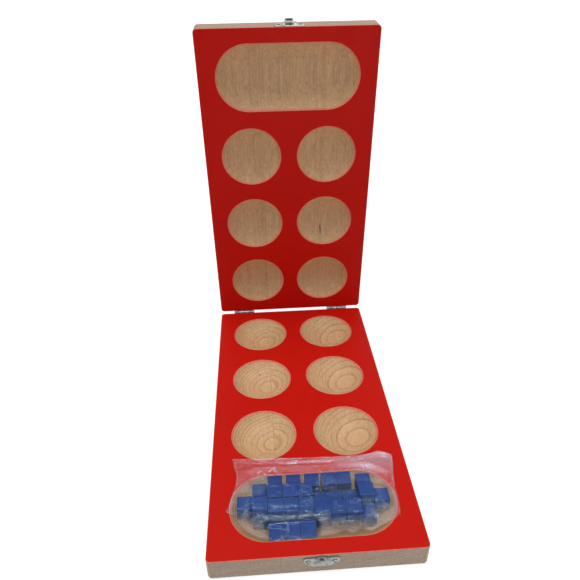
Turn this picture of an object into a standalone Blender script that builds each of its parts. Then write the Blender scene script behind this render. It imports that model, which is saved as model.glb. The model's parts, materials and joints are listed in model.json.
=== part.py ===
"""Folding mancala board: two hinged beech leaves, a hasp, and a bag of playing cubes.

Metres, +Z up. The origin is the centre of the lower leaf's underside. +X runs
across the leaf and +Y from the store towards the hinges. The upper leaf stands
open behind the lower one, as in play, and folds down flat on it.
"""

import math

import bmesh
import bpy
from mathutils import Matrix, Vector

# Clearances
TOUCH_GAP = 0.0002
PIN_CLEARANCE = 0.0002
CUT_OVERRUN = 0.002

# Leaves: a board folded in two, painted on its playing face
LEAF_WIDTH = 0.140
LEAF_LENGTH = 0.264
LEAF_THICKNESS = 0.018
LEAF_CORNER_RADIUS = 0.003
LEAF_BACK_ROUND = 0.0016
LEAF_FACE_ROUND = 0.0004
CLOSED_GAP = 0.0004
OPEN_ANGLE = math.radians(86)

# Wood that is left between the hollows and along the sides of a leaf
LAND = 0.014

# Round hollows, two columns of three on each leaf
PIT_DEPTH = 0.012
PIT_COLUMNS = 2
PIT_ROWS = 3
FIRST_ROW_FROM_HINGE_END = 0.0365

# Long hollow, the store, at the end away from the hinges
STORE_FROM_FAR_END = 0.0365
STORE_WIDTH = 0.0505
STORE_DEPTH = 0.0135

# Butt hinges, on the two end faces that meet
HINGE_FROM_SIDE = 0.023
HINGE_WIDTH = 0.020
HINGE_PLATE_HEIGHT = 0.0115
HINGE_PLATE_THICKNESS = 0.0008
HINGE_KNUCKLE_RADIUS = 0.0013
HINGE_KNUCKLES = 3
HINGE_PIN_RADIUS = 0.0005
HINGE_PLATE_CORNER = 0.001
HINGE_SCREW_SPACING = 0.012
HINGE_SCREW_FROM_AXIS = 0.0072

# Screws
SCREW_SHANK_RADIUS = 0.0008
SCREW_LENGTH = 0.009
SCREW_POINT_LENGTH = 0.0018
COUNTERSUNK_HEAD_RADIUS = 0.0015
ROUND_HEAD_RADIUS = 0.0014
ROUND_HEAD_HEIGHT = 0.0007

# Hasp, on the end faces away from the hinges
HASP_OFFSET_X = 0.0015
HASP_PLATE_THICKNESS = 0.0007
HASP_PLATE_WIDTH = 0.0226
HASP_PLATE_HEIGHT = 0.0083
HASP_PLATE_CORNER = 0.0008
HASP_SCREW_SPACING = 0.0165
HASP_SCREW_FROM_EDGE = 0.0036
KEEPER_BELOW_FACE = 0.002
HASP_BASE_ABOVE_FACE = 0.0008
HASP_AXIS_ABOVE_SEAM = 0.0022
HASP_AXIS_OUTSET = 0.0023
HASP_KNUCKLE_RADIUS = 0.0011
HASP_EAR_WIDTH = 0.0016
HASP_PIN_RADIUS = 0.0005
LEVER_WIDTH = 0.0064
LEVER_THICKNESS = 0.0007
LEVER_REACH = 0.0104
LEVER_LIP_RADIUS = 0.0014
LEVER_LIP_RISE = 0.0032
LEVER_WINDOW_WIDTH = 0.0042
LEVER_WINDOW_START = 0.0045
LEVER_WINDOW_END = 0.0084
KEEPER_PAD_WIDTH = 0.0068
KEEPER_PAD_HEIGHT = 0.0060
KEEPER_PAD_RISE = 0.0003
KEEPER_NOSE_WIDTH = 0.0030
KEEPER_NOSE_HEIGHT = 0.0024
KEEPER_NOSE_BELOW_SEAM = 0.0044
KEEPER_NOSE_OUTSET = 0.0033
KEEPER_NOSE_TIP_SHARE = 0.5

# Playing cubes, three for each round hollow, heaped in the lower store
CUBE_EDGE = 0.010
CUBE_GAP = 0.0002
CUBE_BED = 0.0003

# Plastic bag round the cubes: how far its corners reach past the heap
FILM_THICKNESS = 0.00025
FILM_GAP = 0.0003
BAG_FAR_MARGIN_LEFT = 0.0193
BAG_FAR_MARGIN_RIGHT = 0.0143
BAG_SIDE_MARGIN_FAR_LEFT = 0.001
BAG_SIDE_MARGIN_FAR_RIGHT = 0.005
BAG_SIDE_MARGIN_NEAR_LEFT = 0.004
BAG_SIDE_MARGIN_NEAR_RIGHT = 0.0015
BAG_NEAR_MARGIN = 0.0022
BAG_WAIST_LEFT = -0.0015
BAG_WAIST_RIGHT = 0.002
BAG_CELLS_ACROSS = 30
BAG_CELLS_ALONG = 18

# Facets of round shapes
CORNER_STEPS = 4
PIT_SEGMENTS = 28
STORE_SEGMENTS = 40
HOLLOW_RINGS = 7
SMALL_SEGMENTS = 16

# Places that follow the sizes above
HINGE_AXIS_OUTSET = HINGE_KNUCKLE_RADIUS + TOUCH_GAP
HINGE_AXIS_Y = LEAF_LENGTH / 2 + HINGE_AXIS_OUTSET
HINGE_AXIS_Z = LEAF_THICKNESS + CLOSED_GAP / 2
HINGE_SPACING = LEAF_WIDTH - 2 * HINGE_FROM_SIDE
PIT_COLUMN_PITCH = (LEAF_WIDTH - LAND) / PIT_COLUMNS
PIT_ROW_PITCH = (LEAF_LENGTH - FIRST_ROW_FROM_HINGE_END - STORE_FROM_FAR_END) / PIT_ROWS
PIT_RADIUS = (min(PIT_COLUMN_PITCH, PIT_ROW_PITCH) - LAND) / 2
STORE_Y = STORE_FROM_FAR_END - LEAF_LENGTH / 2
STORE_LENGTH = LEAF_WIDTH - 2 * LAND
STORE_RADIUS = STORE_WIDTH / 2
STORE_HALF_STRAIGHT = STORE_LENGTH / 2 - STORE_RADIUS
STORE_CURVE = (STORE_RADIUS ** 2 + STORE_DEPTH ** 2) / (2 * STORE_DEPTH)
CUBE_PITCH = CUBE_EDGE + CUBE_GAP

# Outline of a hasp plate, from its straight edge: places across as shares of
# its width and places down as shares of its height
HASP_OUTLINE_SHARES = ((-0.5, 0.0), (0.5, 0.0), (0.5, 0.5), (0.26, 1.0), (-0.26, 1.0), (-0.5, 0.5))

# Cubes that lie level in the bottom of the store: name, place across from the
# middle and place towards the hinges from the front row, as shares of the pitch
FLOOR_SHARES = (
    ("front_support_1", -2.10, 0.02),
    ("front_support_2", -0.70, 0.02),
    ("front_support_3", 0.70, 0.02),
    ("front_support_4", 2.10, 0.02),
    ("back_support", -2.50, 1.05),
    ("left_support", -3.50, 0.11),
    ("right_support", 3.50, 0.70),
    ("far_1", -2.45, 2.05),
    ("far_2", -1.20, 2.06),
    ("far_3", 0.05, 2.06),
    ("far_4", 1.18, 2.06),
    ("far_5", 2.20, 2.06),
    ("far_6", 3.50, 1.80),
    ("left_end", -4.50, 0.55),
    ("right_end", 4.50, 0.55),
    ("back_1", -3.50, 1.59),
    ("back_5", 0.50, 1.05),
    ("back_6", 1.50, 1.05),
    ("back_7", 2.50, 1.05),
    ("front_8", 3.50, -0.32),
)
# Two cubes under the heap that are joined in one node
JOINED_PAIR_SHARE = (-1.0, 1.05)
# Cubes of the upper layer: name, place across and place towards the hinges
UPPER_SHARES = (
    ("back_2", -2.50, 1.05),
    ("back_3", -1.50, 1.05),
    ("back_4", -0.50, 1.05),
    ("back_8", 3.50, 0.71),
    ("front_1", -3.50, 0.11),
    ("front_2", -2.50, 0.00),
    ("front_3", -1.50, 0.00),
    ("front_4", -0.50, 0.00),
    ("front_5", 0.50, -0.20),
    ("front_6", 1.50, -0.38),
    ("front_7", 2.50, -0.38),
)
# Cubes that lean on the near wall: name, and place across as a share
NEAR_WALL_SHARES = (("near_1", -2.50), ("near_2", -1.50), ("near_3", -0.50))
LEAN_ANGLE = math.radians(45)

# Near edge of the bag: place across, and how far the edge hangs from the line
# between its corners down to the near side of the heap, both as shares
BAG_NEAR_EDGE_SHARES = ((0.0, 0.0), (0.1, 0.75), (0.2, 1.0), (0.56, 1.0), (0.75, 0.7), (1.0, 0.0))
# Near corners of the bag, as shares of the heap's depth from its near side
BAG_NEAR_CORNER_SHARES = (0.50, 0.26)

COLOURS = {
    "beech": ((0.62, 0.43, 0.26), 0.6, 0.0),
    "red_paint": ((0.56, 0.014, 0.010), 0.35, 0.0),
    "nickel": ((0.62, 0.62, 0.60), 0.3, 1.0),
    "blue_stain": ((0.030, 0.075, 0.32), 0.65, 0.0),
    "clear_film": ((0.85, 0.82, 0.82), 0.2, 0.0),
}


def clear_scene():
    """Remove every object that the file opened with."""
    for item in list(bpy.data.objects):
        bpy.data.objects.remove(item, do_unlink=True)


def make_material(name):
    """Return the Principled material of that name, made once."""
    if name in bpy.data.materials:
        return bpy.data.materials[name]
    colour, roughness, metallic = COLOURS[name]
    surface = bpy.data.materials.new(name)
    surface.use_nodes = True
    shader = surface.node_tree.nodes["Principled BSDF"]
    shader.inputs["Base Color"].default_value = (*colour, 1.0)
    shader.inputs["Roughness"].default_value = roughness
    shader.inputs["Metallic"].default_value = metallic
    return surface


def add_object(name, shape, parent, *surfaces):
    """Turn a bmesh into an object with outward faces, under its parent."""
    bmesh.ops.recalc_face_normals(shape, faces=shape.faces)
    mesh = bpy.data.meshes.new(name)
    shape.to_mesh(mesh)
    shape.free()
    for surface in surfaces:
        mesh.materials.append(make_material(surface))
    item = bpy.data.objects.new(name, mesh)
    bpy.context.scene.collection.objects.link(item)
    item.parent = parent
    return item


def add_guide(name, shape, parent):
    """Turn a bmesh into a hidden object that only shapes another one."""
    guide = add_object(name, shape, parent)
    guide.hide_render = True
    guide.display_type = "WIRE"
    return guide


def add_empty(name, parent, location, turn_about_x):
    """Add an empty that carries the pieces of a moving body on its axis."""
    empty = bpy.data.objects.new(name, None)
    bpy.context.scene.collection.objects.link(empty)
    empty.parent = parent
    empty.location = location
    empty.rotation_euler = (turn_about_x, 0.0, 0.0)
    return empty


def combine(item, guide, operation):
    """Cut an object with a guide, or join the guide to it."""
    change = item.modifiers.new(guide.name, "BOOLEAN")
    change.operation = operation
    change.object = guide
    change.solver = "EXACT"


def shade_round(item):
    """Shade an object smooth except at its clear edges."""
    item.data.shade_smooth()
    item.data.set_sharp_from_angle(angle=math.radians(35))


def rounded_outline(corners, radius):
    """Return a 2-D outline with an arc of one radius at each corner."""
    points = []
    count = len(corners)
    for index, corner in enumerate(corners):
        here = Vector(corner)
        before = (Vector(corners[index - 1]) - here).normalized()
        after = (Vector(corners[(index + 1) % count]) - here).normalized()
        half_angle = before.angle(after) / 2
        centre = here + (before + after).normalized() * (radius / math.sin(half_angle))
        setback = radius / math.tan(half_angle)
        start = here + before * setback - centre
        end = here + after * setback - centre
        sweep = start.angle_signed(end)
        for step in range(CORNER_STEPS + 1):
            arm = start.copy()
            arm.rotate(Matrix.Rotation(-sweep * step / CORNER_STEPS, 2))
            points.append(centre + arm)
    return points


def prism(shape, points, travel):
    """Add a solid: a flat outline of 3-D points carried along a vector."""
    base = shape.faces.new([shape.verts.new(point) for point in points])
    grown = bmesh.ops.extrude_face_region(shape, geom=[base], use_keep_orig=True)
    moved = [part for part in grown["geom"] if isinstance(part, bmesh.types.BMVert)]
    bmesh.ops.translate(shape, verts=moved, vec=travel)
    return base


def along_x(outline, start, width):
    """Return a bmesh solid: a (y, z) outline carried across X."""
    shape = bmesh.new()
    prism(shape, [(start, y, z) for y, z in outline], Vector((width, 0.0, 0.0)))
    return shape


def along_y(outline, start, depth):
    """Return a bmesh solid: an (x, z) outline carried along Y."""
    shape = bmesh.new()
    prism(shape, [(x, start, z) for x, z in outline], Vector((0.0, depth, 0.0)))
    return shape


def add_rod(shape, radius, start, end):
    """Add a closed round rod between two points to a bmesh."""
    start = Vector(start)
    end = Vector(end)
    place = Matrix.Translation((start + end) / 2) @ (end - start).to_track_quat("Z", "Y").to_matrix().to_4x4()
    bmesh.ops.create_cone(
        shape, cap_ends=True, segments=SMALL_SEGMENTS, radius1=radius, radius2=radius,
        depth=(end - start).length, matrix=place,
    )


def turned(profile, direction, place):
    """Return a bmesh solid turned from (radius, height) points, along a direction."""
    shape = bmesh.new()
    chain = [shape.verts.new((radius, 0.0, height)) for radius, height in profile]
    edges = [shape.edges.new(pair) for pair in zip(chain, chain[1:])]
    bmesh.ops.spin(
        shape, geom=chain + edges, cent=(0.0, 0.0, 0.0), axis=(0.0, 0.0, 1.0),
        angle=math.tau, steps=SMALL_SEGMENTS, use_merge=True,
    )
    bmesh.ops.remove_doubles(shape, verts=shape.verts, dist=TOUCH_GAP / 10)
    turn = Vector(direction).to_track_quat("Z", "Y").to_matrix().to_4x4()
    bmesh.ops.transform(shape, matrix=Matrix.Translation(place) @ turn, verts=shape.verts)
    return shape


def store_depth(across, along):
    """Return how deep the store is at a place measured from its middle."""
    from_spine = math.hypot(max(abs(across) - STORE_HALF_STRAIGHT, 0.0), along)
    if from_spine >= STORE_RADIUS:
        return 0.0
    return math.sqrt(STORE_CURVE ** 2 - from_spine ** 2) - (STORE_CURVE - STORE_DEPTH)


def hollow_cutter(shape, place, radius, depth, half_straight, segments):
    """Add a cutter for a dished hollow, round or drawn out along X, to a bmesh."""
    curve = (radius ** 2 + depth ** 2) / (2 * depth)
    rim_angle = math.asin(radius / curve)
    levels = [(radius, LEAF_THICKNESS + CUT_OVERRUN)]
    for ring in range(HOLLOW_RINGS + 1):
        angle = rim_angle * (HOLLOW_RINGS - ring) / HOLLOW_RINGS
        level = LEAF_THICKNESS + curve - depth - curve * math.cos(angle)
        levels.append((curve * math.sin(angle), level))
    half_turn = segments // 2
    rings = []
    for ring_radius, level in levels:
        ring = []
        for side in (0, 1):
            spine = half_straight * (1 - 2 * side)
            for step in range(half_turn + 1):
                angle = math.pi * (side + step / half_turn) - math.pi / 2
                x = place[0] + spine + ring_radius * math.cos(angle)
                y = place[1] + ring_radius * math.sin(angle)
                ring.append(shape.verts.new((x, y, level)))
        rings.append(ring)
    shape.faces.new(rings[0])
    for upper, lower in zip(rings, rings[1:]):
        for index in range(len(upper)):
            shape.faces.new((upper[index - 1], upper[index], lower[index], lower[index - 1]))
    corners = [corner for ring in rings for corner in ring]
    bmesh.ops.remove_doubles(shape, verts=corners, dist=TOUCH_GAP / 10)


def leaf_cutter(screw_places):
    """Return a bmesh with the leaf's hollows and the pilot holes for its screws."""
    shape = bmesh.new()
    for column in range(PIT_COLUMNS):
        for row in range(PIT_ROWS):
            x = (column - (PIT_COLUMNS - 1) / 2) * PIT_COLUMN_PITCH
            y = LEAF_LENGTH / 2 - FIRST_ROW_FROM_HINGE_END - row * PIT_ROW_PITCH
            hollow_cutter(shape, (x, y), PIT_RADIUS, PIT_DEPTH, 0.0, PIT_SEGMENTS)
    hollow_cutter(shape, (0.0, STORE_Y), STORE_RADIUS, STORE_DEPTH, STORE_HALF_STRAIGHT, STORE_SEGMENTS)
    hole_radius = SCREW_SHANK_RADIUS + TOUCH_GAP
    hole_depth = SCREW_LENGTH + TOUCH_GAP
    for x, z, end in screw_places:
        start = (x, end * (LEAF_LENGTH / 2 + CUT_OVERRUN), z)
        stop = (x, end * (LEAF_LENGTH / 2 - hole_depth), z)
        add_rod(shape, hole_radius, start, stop)
    return shape


def build_leaf(name, parent, screw_places, place):
    """Build one leaf: a rounded board, painted on top, with its hollows cut."""
    half_width = LEAF_WIDTH / 2
    half_length = LEAF_LENGTH / 2
    corners = ((-half_width, -half_length), (half_width, -half_length), (half_width, half_length),
               (-half_width, half_length))
    outline = rounded_outline(corners, LEAF_CORNER_RADIUS)
    shape = bmesh.new()
    prism(shape, [(x, y, 0.0) for x, y in outline], Vector((0.0, 0.0, LEAF_THICKNESS)))
    for level, width, steps in ((0.0, LEAF_BACK_ROUND, 2), (LEAF_THICKNESS, LEAF_FACE_ROUND, 1)):
        rim = [edge for edge in shape.edges
               if all(abs(corner.co.z - level) < TOUCH_GAP / 2 for corner in edge.verts)]
        bmesh.ops.bevel(shape, geom=rim, offset=width, segments=steps, profile=0.5, affect="EDGES")
    bmesh.ops.recalc_face_normals(shape, faces=shape.faces)
    for face in shape.faces:
        if face.normal.z > 0.9:
            face.material_index = 1
    bmesh.ops.transform(shape, matrix=place, verts=shape.verts)
    leaf = add_object(name, shape, parent, "beech", "red_paint")
    cutter = leaf_cutter(screw_places)
    bmesh.ops.transform(cutter, matrix=place, verts=cutter.verts)
    combine(leaf, add_guide(name + "_hollows", cutter, parent), "DIFFERENCE")
    return leaf


def knuckle_outline(side):
    """Return a hinge knuckle with its tab, in (y, z) round the axis; side -1 is below."""
    radius = HINGE_KNUCKLE_RADIUS
    outer = HINGE_PLATE_THICKNESS - radius
    foot = side * (radius + TOUCH_GAP + HINGE_PLATE_THICKNESS)
    outline = [(-radius, foot)]
    start_angle = math.pi
    sweep = start_angle + math.acos(outer / radius)
    for step in range(SMALL_SEGMENTS + 1):
        angle = start_angle - sweep * step / SMALL_SEGMENTS
        outline.append((radius * math.cos(angle), -side * radius * math.sin(angle)))
    outline.append((outer, foot))
    return outline


def build_hinge_plate(name, parent, x, side, own_knuckles, origin):
    """Build one plate of a butt hinge; side -1 hangs below the axis, +1 stands above."""
    half_width = HINGE_WIDTH / 2
    near = side * (HINGE_KNUCKLE_RADIUS + TOUCH_GAP)
    far = side * HINGE_PLATE_HEIGHT
    corners = ((x - half_width, near), (x + half_width, near), (x + half_width, far), (x - half_width, far))
    outline = rounded_outline(corners, HINGE_PLATE_CORNER)
    plate_shape = along_y(outline, -HINGE_KNUCKLE_RADIUS, HINGE_PLATE_THICKNESS)
    knuckles = bmesh.new()
    length = HINGE_WIDTH / HINGE_KNUCKLES
    for index in own_knuckles:
        start = x - half_width + index * length + (TOUCH_GAP / 2 if index else 0.0)
        end = x - half_width + (index + 1) * length
        end -= TOUCH_GAP / 2 if index < HINGE_KNUCKLES - 1 else 0.0
        prism(knuckles, [(start, y, z) for y, z in knuckle_outline(side)], Vector((end - start, 0.0, 0.0)))
    holes = bmesh.new()
    reach = half_width + CUT_OVERRUN
    add_rod(holes, HINGE_PIN_RADIUS + PIN_CLEARANCE, (x - reach, 0.0, 0.0), (x + reach, 0.0, 0.0))
    outer = HINGE_PLATE_THICKNESS - HINGE_KNUCKLE_RADIUS
    for offset in (-HINGE_SCREW_SPACING / 2, HINGE_SCREW_SPACING / 2):
        place = Vector((x + offset, outer, side * HINGE_SCREW_FROM_AXIS))
        sink = (
            (0.0, CUT_OVERRUN),
            (COUNTERSUNK_HEAD_RADIUS + TOUCH_GAP, CUT_OVERRUN),
            (COUNTERSUNK_HEAD_RADIUS + TOUCH_GAP, 0.0),
            (SCREW_SHANK_RADIUS + TOUCH_GAP, -HINGE_PLATE_THICKNESS),
            (SCREW_SHANK_RADIUS + TOUCH_GAP, -HINGE_PLATE_THICKNESS - CUT_OVERRUN),
            (0.0, -HINGE_PLATE_THICKNESS - CUT_OVERRUN),
        )
        sunk = turned(sink, (0.0, 1.0, 0.0), place)
        loose = bpy.data.meshes.new("sink")
        sunk.to_mesh(loose)
        sunk.free()
        holes.from_mesh(loose)
    for shape in (plate_shape, knuckles, holes):
        bmesh.ops.translate(shape, verts=shape.verts, vec=origin)
    plate = add_object(name, plate_shape, parent, "nickel")
    combine(plate, add_guide(name + "_knuckles", knuckles, parent), "UNION")
    combine(plate, add_guide(name + "_holes", holes, parent), "DIFFERENCE")
    shade_round(plate)
    return plate


def build_screw(name, parent, place, outward, round_head):
    """Build a wood screw whose head faces outward from the place of its seat."""
    shank = SCREW_SHANK_RADIUS
    point_start = SCREW_POINT_LENGTH - SCREW_LENGTH
    if round_head:
        radius = ROUND_HEAD_RADIUS
        height = ROUND_HEAD_HEIGHT
        head = [(radius * math.sin(angle), height * math.cos(angle))
                for angle in (math.radians(part) for part in (0, 30, 60, 90))]
        head.append((shank, 0.0))
    else:
        head = [(0.0, 0.0), (COUNTERSUNK_HEAD_RADIUS, 0.0), (shank, -HINGE_PLATE_THICKNESS)]
    profile = head + [(shank, point_start), (0.0, -SCREW_LENGTH)]
    screw = add_object(name, turned(profile, outward, place), parent, "nickel")
    shade_round(screw)
    return screw


def build_hinges(lower, upper):
    """Build both butt hinges, each with two plates, a pin and four screws."""
    world_axis = Vector((0.0, HINGE_AXIS_Y, HINGE_AXIS_Z))
    for label, x in (("left", -HINGE_SPACING / 2), ("right", HINGE_SPACING / 2)):
        build_hinge_plate(f"hinge_{label}_lower_plate", lower, x, -1, range(0, HINGE_KNUCKLES, 2), world_axis)
        build_hinge_plate(f"hinge_{label}_upper_plate", upper, x, 1, range(1, HINGE_KNUCKLES, 2), Vector())
        pin = bmesh.new()
        half = Vector((HINGE_WIDTH / 2, 0.0, 0.0))
        middle = world_axis + Vector((x, 0.0, 0.0))
        add_rod(pin, HINGE_PIN_RADIUS, middle - half, middle + half)
        shade_round(add_object(f"hinge_{label}_pin", pin, lower, "nickel"))
        outer = HINGE_PLATE_THICKNESS - HINGE_KNUCKLE_RADIUS
        for board, side, parent, origin in (("lower", -1, lower, world_axis), ("upper", 1, upper, Vector())):
            for index, offset in enumerate((-HINGE_SCREW_SPACING / 2, HINGE_SCREW_SPACING / 2)):
                place = origin + Vector((x + offset, outer, side * HINGE_SCREW_FROM_AXIS))
                name = f"hinge_{label}_{board}_screw_{index + 1}"
                build_screw(name, parent, place, (0.0, 1.0, 0.0), False)


def hasp_outline(edge, side):
    """Return a hasp plate's (x, z) outline from its straight edge; side -1 points down."""
    corners = [(HASP_OFFSET_X + across * HASP_PLATE_WIDTH, edge + side * down * HASP_PLATE_HEIGHT)
               for across, down in HASP_OUTLINE_SHARES]
    return rounded_outline(corners, HASP_PLATE_CORNER)


def hasp_screw_holes(end_y, level):
    """Return a bmesh with the two screw holes of a hasp plate."""
    holes = bmesh.new()
    for x in hasp_screw_columns():
        start = (x, end_y + CUT_OVERRUN, level)
        stop = (x, end_y - CUT_OVERRUN, level)
        add_rod(holes, SCREW_SHANK_RADIUS + TOUCH_GAP, start, stop)
    return holes


def hasp_screw_columns():
    """Return where the two screws of a hasp plate stand across the leaf."""
    return (HASP_OFFSET_X - HASP_SCREW_SPACING / 2, HASP_OFFSET_X + HASP_SCREW_SPACING / 2)


def build_keeper(parent):
    """Build the keeper: a plate with a raised pad and a nose, and its two screws."""
    end_y = -LEAF_LENGTH / 2
    inner = end_y - TOUCH_GAP
    outer = inner - HASP_PLATE_THICKNESS
    edge = LEAF_THICKNESS - KEEPER_BELOW_FACE
    plate_shape = along_y(hasp_outline(edge, -1), outer, HASP_PLATE_THICKNESS)
    keeper = add_object("keeper_plate", plate_shape, parent, "nickel")
    seam = HINGE_AXIS_Z
    root = outer + HASP_PLATE_THICKNESS / 2
    nose_level = seam - KEEPER_NOSE_BELOW_SEAM
    half_pad = KEEPER_PAD_WIDTH / 2
    half_rise = KEEPER_PAD_HEIGHT / 2
    pad_corners = (
        (HASP_OFFSET_X - half_pad, nose_level - half_rise), (HASP_OFFSET_X + half_pad, nose_level - half_rise),
        (HASP_OFFSET_X + half_pad, nose_level + half_rise), (HASP_OFFSET_X - half_pad, nose_level + half_rise),
    )
    pad_top = outer - KEEPER_PAD_RISE
    pad = along_y(rounded_outline(pad_corners, HASP_PLATE_CORNER), pad_top, root - pad_top)
    nose_tip = end_y - KEEPER_NOSE_OUTSET
    half_nose = KEEPER_NOSE_HEIGHT / 2
    nose_outline = (
        (root, nose_level - half_nose),
        (nose_tip, nose_level - half_nose * KEEPER_NOSE_TIP_SHARE),
        (nose_tip, nose_level + half_nose), (root, nose_level + half_nose),
    )
    nose = along_x(nose_outline, HASP_OFFSET_X - KEEPER_NOSE_WIDTH / 2, KEEPER_NOSE_WIDTH)
    combine(keeper, add_guide("keeper_pad", pad, parent), "UNION")
    combine(keeper, add_guide("keeper_nose", nose, parent), "UNION")
    level = edge - HASP_SCREW_FROM_EDGE
    combine(keeper, add_guide("keeper_holes", hasp_screw_holes(end_y, level), parent), "DIFFERENCE")
    seat = outer - TOUCH_GAP
    for index, x in enumerate(hasp_screw_columns()):
        place = Vector((x, seat, level))
        build_screw(f"keeper_screw_{index + 1}", parent, place, (0.0, -1.0, 0.0), True)


def build_hasp_base(parent):
    """Build the hasp's base plate with two ears for the pin, the pin and two screws."""
    end_y = -HINGE_AXIS_Y - LEAF_LENGTH / 2
    inner = end_y - TOUCH_GAP
    outer = inner - HASP_PLATE_THICKNESS
    edge = CLOSED_GAP / 2 + HASP_BASE_ABOVE_FACE
    base = add_object("hasp_base_plate", along_y(hasp_outline(edge, 1), outer, HASP_PLATE_THICKNESS), parent,
                      "nickel")
    root = outer + HASP_PLATE_THICKNESS / 2
    axis_y = end_y - HASP_AXIS_OUTSET
    radius = HASP_KNUCKLE_RADIUS
    ear_outline = [(root, HASP_AXIS_ABOVE_SEAM - radius)]
    for step in range(SMALL_SEGMENTS // 2 + 1):
        angle = math.pi * step / (SMALL_SEGMENTS // 2)
        ear_outline.append((axis_y - radius * math.sin(angle), HASP_AXIS_ABOVE_SEAM - radius * math.cos(angle)))
    ear_outline.append((root, HASP_AXIS_ABOVE_SEAM + radius))
    ears = bmesh.new()
    inside = LEVER_WIDTH / 2 + TOUCH_GAP
    for start in (HASP_OFFSET_X - inside - HASP_EAR_WIDTH, HASP_OFFSET_X + inside):
        prism(ears, [(start, y, z) for y, z in ear_outline], Vector((HASP_EAR_WIDTH, 0.0, 0.0)))
    combine(base, add_guide("hasp_ears", ears, parent), "UNION")
    reach = inside + HASP_EAR_WIDTH
    middle = Vector((HASP_OFFSET_X, axis_y, HASP_AXIS_ABOVE_SEAM))
    level = edge + HASP_SCREW_FROM_EDGE
    holes = hasp_screw_holes(end_y, level)
    over = Vector((reach + CUT_OVERRUN, 0.0, 0.0))
    add_rod(holes, HASP_PIN_RADIUS + PIN_CLEARANCE, middle - over, middle + over)
    combine(base, add_guide("hasp_base_holes", holes, parent), "DIFFERENCE")
    pin = bmesh.new()
    half = Vector((reach, 0.0, 0.0))
    add_rod(pin, HASP_PIN_RADIUS, middle - half, middle + half)
    shade_round(add_object("hasp_pin", pin, parent, "nickel"))
    seat = outer - TOUCH_GAP
    for index, x in enumerate(hasp_screw_columns()):
        place = Vector((x, seat, level))
        build_screw(f"hasp_screw_{index + 1}", parent, place, (0.0, -1.0, 0.0), True)
    return middle


def lever_rest_turn():
    """Return how far the lever folds back from latched, until its lip meets the wood."""
    tip_radius = math.hypot(LEVER_REACH, LEVER_LIP_RISE)
    lip_angle = math.atan2(LEVER_LIP_RISE, LEVER_REACH)
    lift = lip_angle + math.asin((TOUCH_GAP - HASP_AXIS_OUTSET) / tip_radius)
    return math.pi - lift


def lever_outline():
    """Return the lever's (y, z) side view round its pin, in its latched position."""
    half = LEVER_THICKNESS / 2
    radius = HASP_KNUCKLE_RADIUS
    meet = math.asin(half / radius)
    outline = []
    sweep = math.tau - 2 * meet
    for step in range(SMALL_SEGMENTS + 1):
        angle = meet + sweep * step / SMALL_SEGMENTS
        outline.append((radius * math.sin(angle), -radius * math.cos(angle)))
    bend_level = LEVER_LIP_RADIUS - LEVER_REACH
    for step in range(CORNER_STEPS + 1):
        angle = math.pi / 2 * step / CORNER_STEPS
        inner = LEVER_LIP_RADIUS - LEVER_THICKNESS
        outline.append((-half - inner * (1 - math.cos(angle)), bend_level - inner * math.sin(angle)))
    outline.append((-LEVER_LIP_RISE, LEVER_THICKNESS - LEVER_REACH))
    outline.append((-LEVER_LIP_RISE, -LEVER_REACH))
    for step in range(CORNER_STEPS + 1):
        angle = math.pi / 2 * (1 - step / CORNER_STEPS)
        outer = LEVER_LIP_RADIUS
        outline.append((half - outer * (1 - math.cos(angle)), bend_level - outer * math.sin(angle)))
    return outline


def build_lever(parent):
    """Build the hasp's lever, with its knuckle, its window and its curled lip."""
    half = LEVER_WIDTH / 2
    lever = add_object("hasp_lever", along_x(lever_outline(), -half, LEVER_WIDTH), parent, "nickel")
    cuts = bmesh.new()
    reach = half + CUT_OVERRUN
    add_rod(cuts, HASP_PIN_RADIUS + PIN_CLEARANCE, (-reach, 0.0, 0.0), (reach, 0.0, 0.0))
    half_window = LEVER_WINDOW_WIDTH / 2
    window_corners = (
        (-half_window, -LEVER_WINDOW_END), (half_window, -LEVER_WINDOW_END),
        (half_window, -LEVER_WINDOW_START), (-half_window, -LEVER_WINDOW_START),
    )
    window = [(x, -CUT_OVERRUN, z) for x, z in window_corners]
    prism(cuts, window, Vector((0.0, 2 * CUT_OVERRUN, 0.0)))
    combine(lever, add_guide("hasp_lever_cuts", cuts, parent), "DIFFERENCE")
    shade_round(lever)
    return lever


def cube_shape(length):
    """Return a bmesh block as wide and high as one cube."""
    shape = bmesh.new()
    bmesh.ops.create_cube(shape, size=1.0, matrix=Matrix.Diagonal((length, CUBE_EDGE, CUBE_EDGE, 1.0)))
    return shape


def floor_level(across, along, length):
    """Return the height of the underside of a level block that lies in the store."""
    depths = [store_depth(across + side * length / 2, along + end * CUBE_EDGE / 2)
              for side in (-1, 1) for end in (-1, 1)]
    return LEAF_THICKNESS - min(depths) + CUBE_BED


def near_row():
    """Return the centre line of the leaning cubes, from the middle of the store: along and up."""
    half = CUBE_EDGE / 2
    outermost = max(abs(across_share) for _, across_share in NEAR_WALL_SHARES) * CUBE_PITCH + half
    past_straight = max(outermost - STORE_HALF_STRAIGHT, 0.0)
    wall = math.sqrt((STORE_CURVE - CUBE_BED) ** 2 - past_straight ** 2)
    arc = math.sqrt(wall ** 2 - half ** 2) - half
    up = LEAF_THICKNESS + STORE_CURVE - STORE_DEPTH - arc * math.cos(LEAN_ANGLE)
    return -arc * math.sin(LEAN_ANGLE), up


def heap_place(across_share, along_share):
    """Return a place in the heap, from the middle of the store, from its shares."""
    near_along, _ = near_row()
    reach = CUBE_EDGE / 2 * (1 + math.cos(LEAN_ANGLE) + math.sin(LEAN_ANGLE))
    front_along = near_along + reach + CUBE_GAP
    return across_share * CUBE_PITCH, front_along + along_share * CUBE_PITCH


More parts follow.
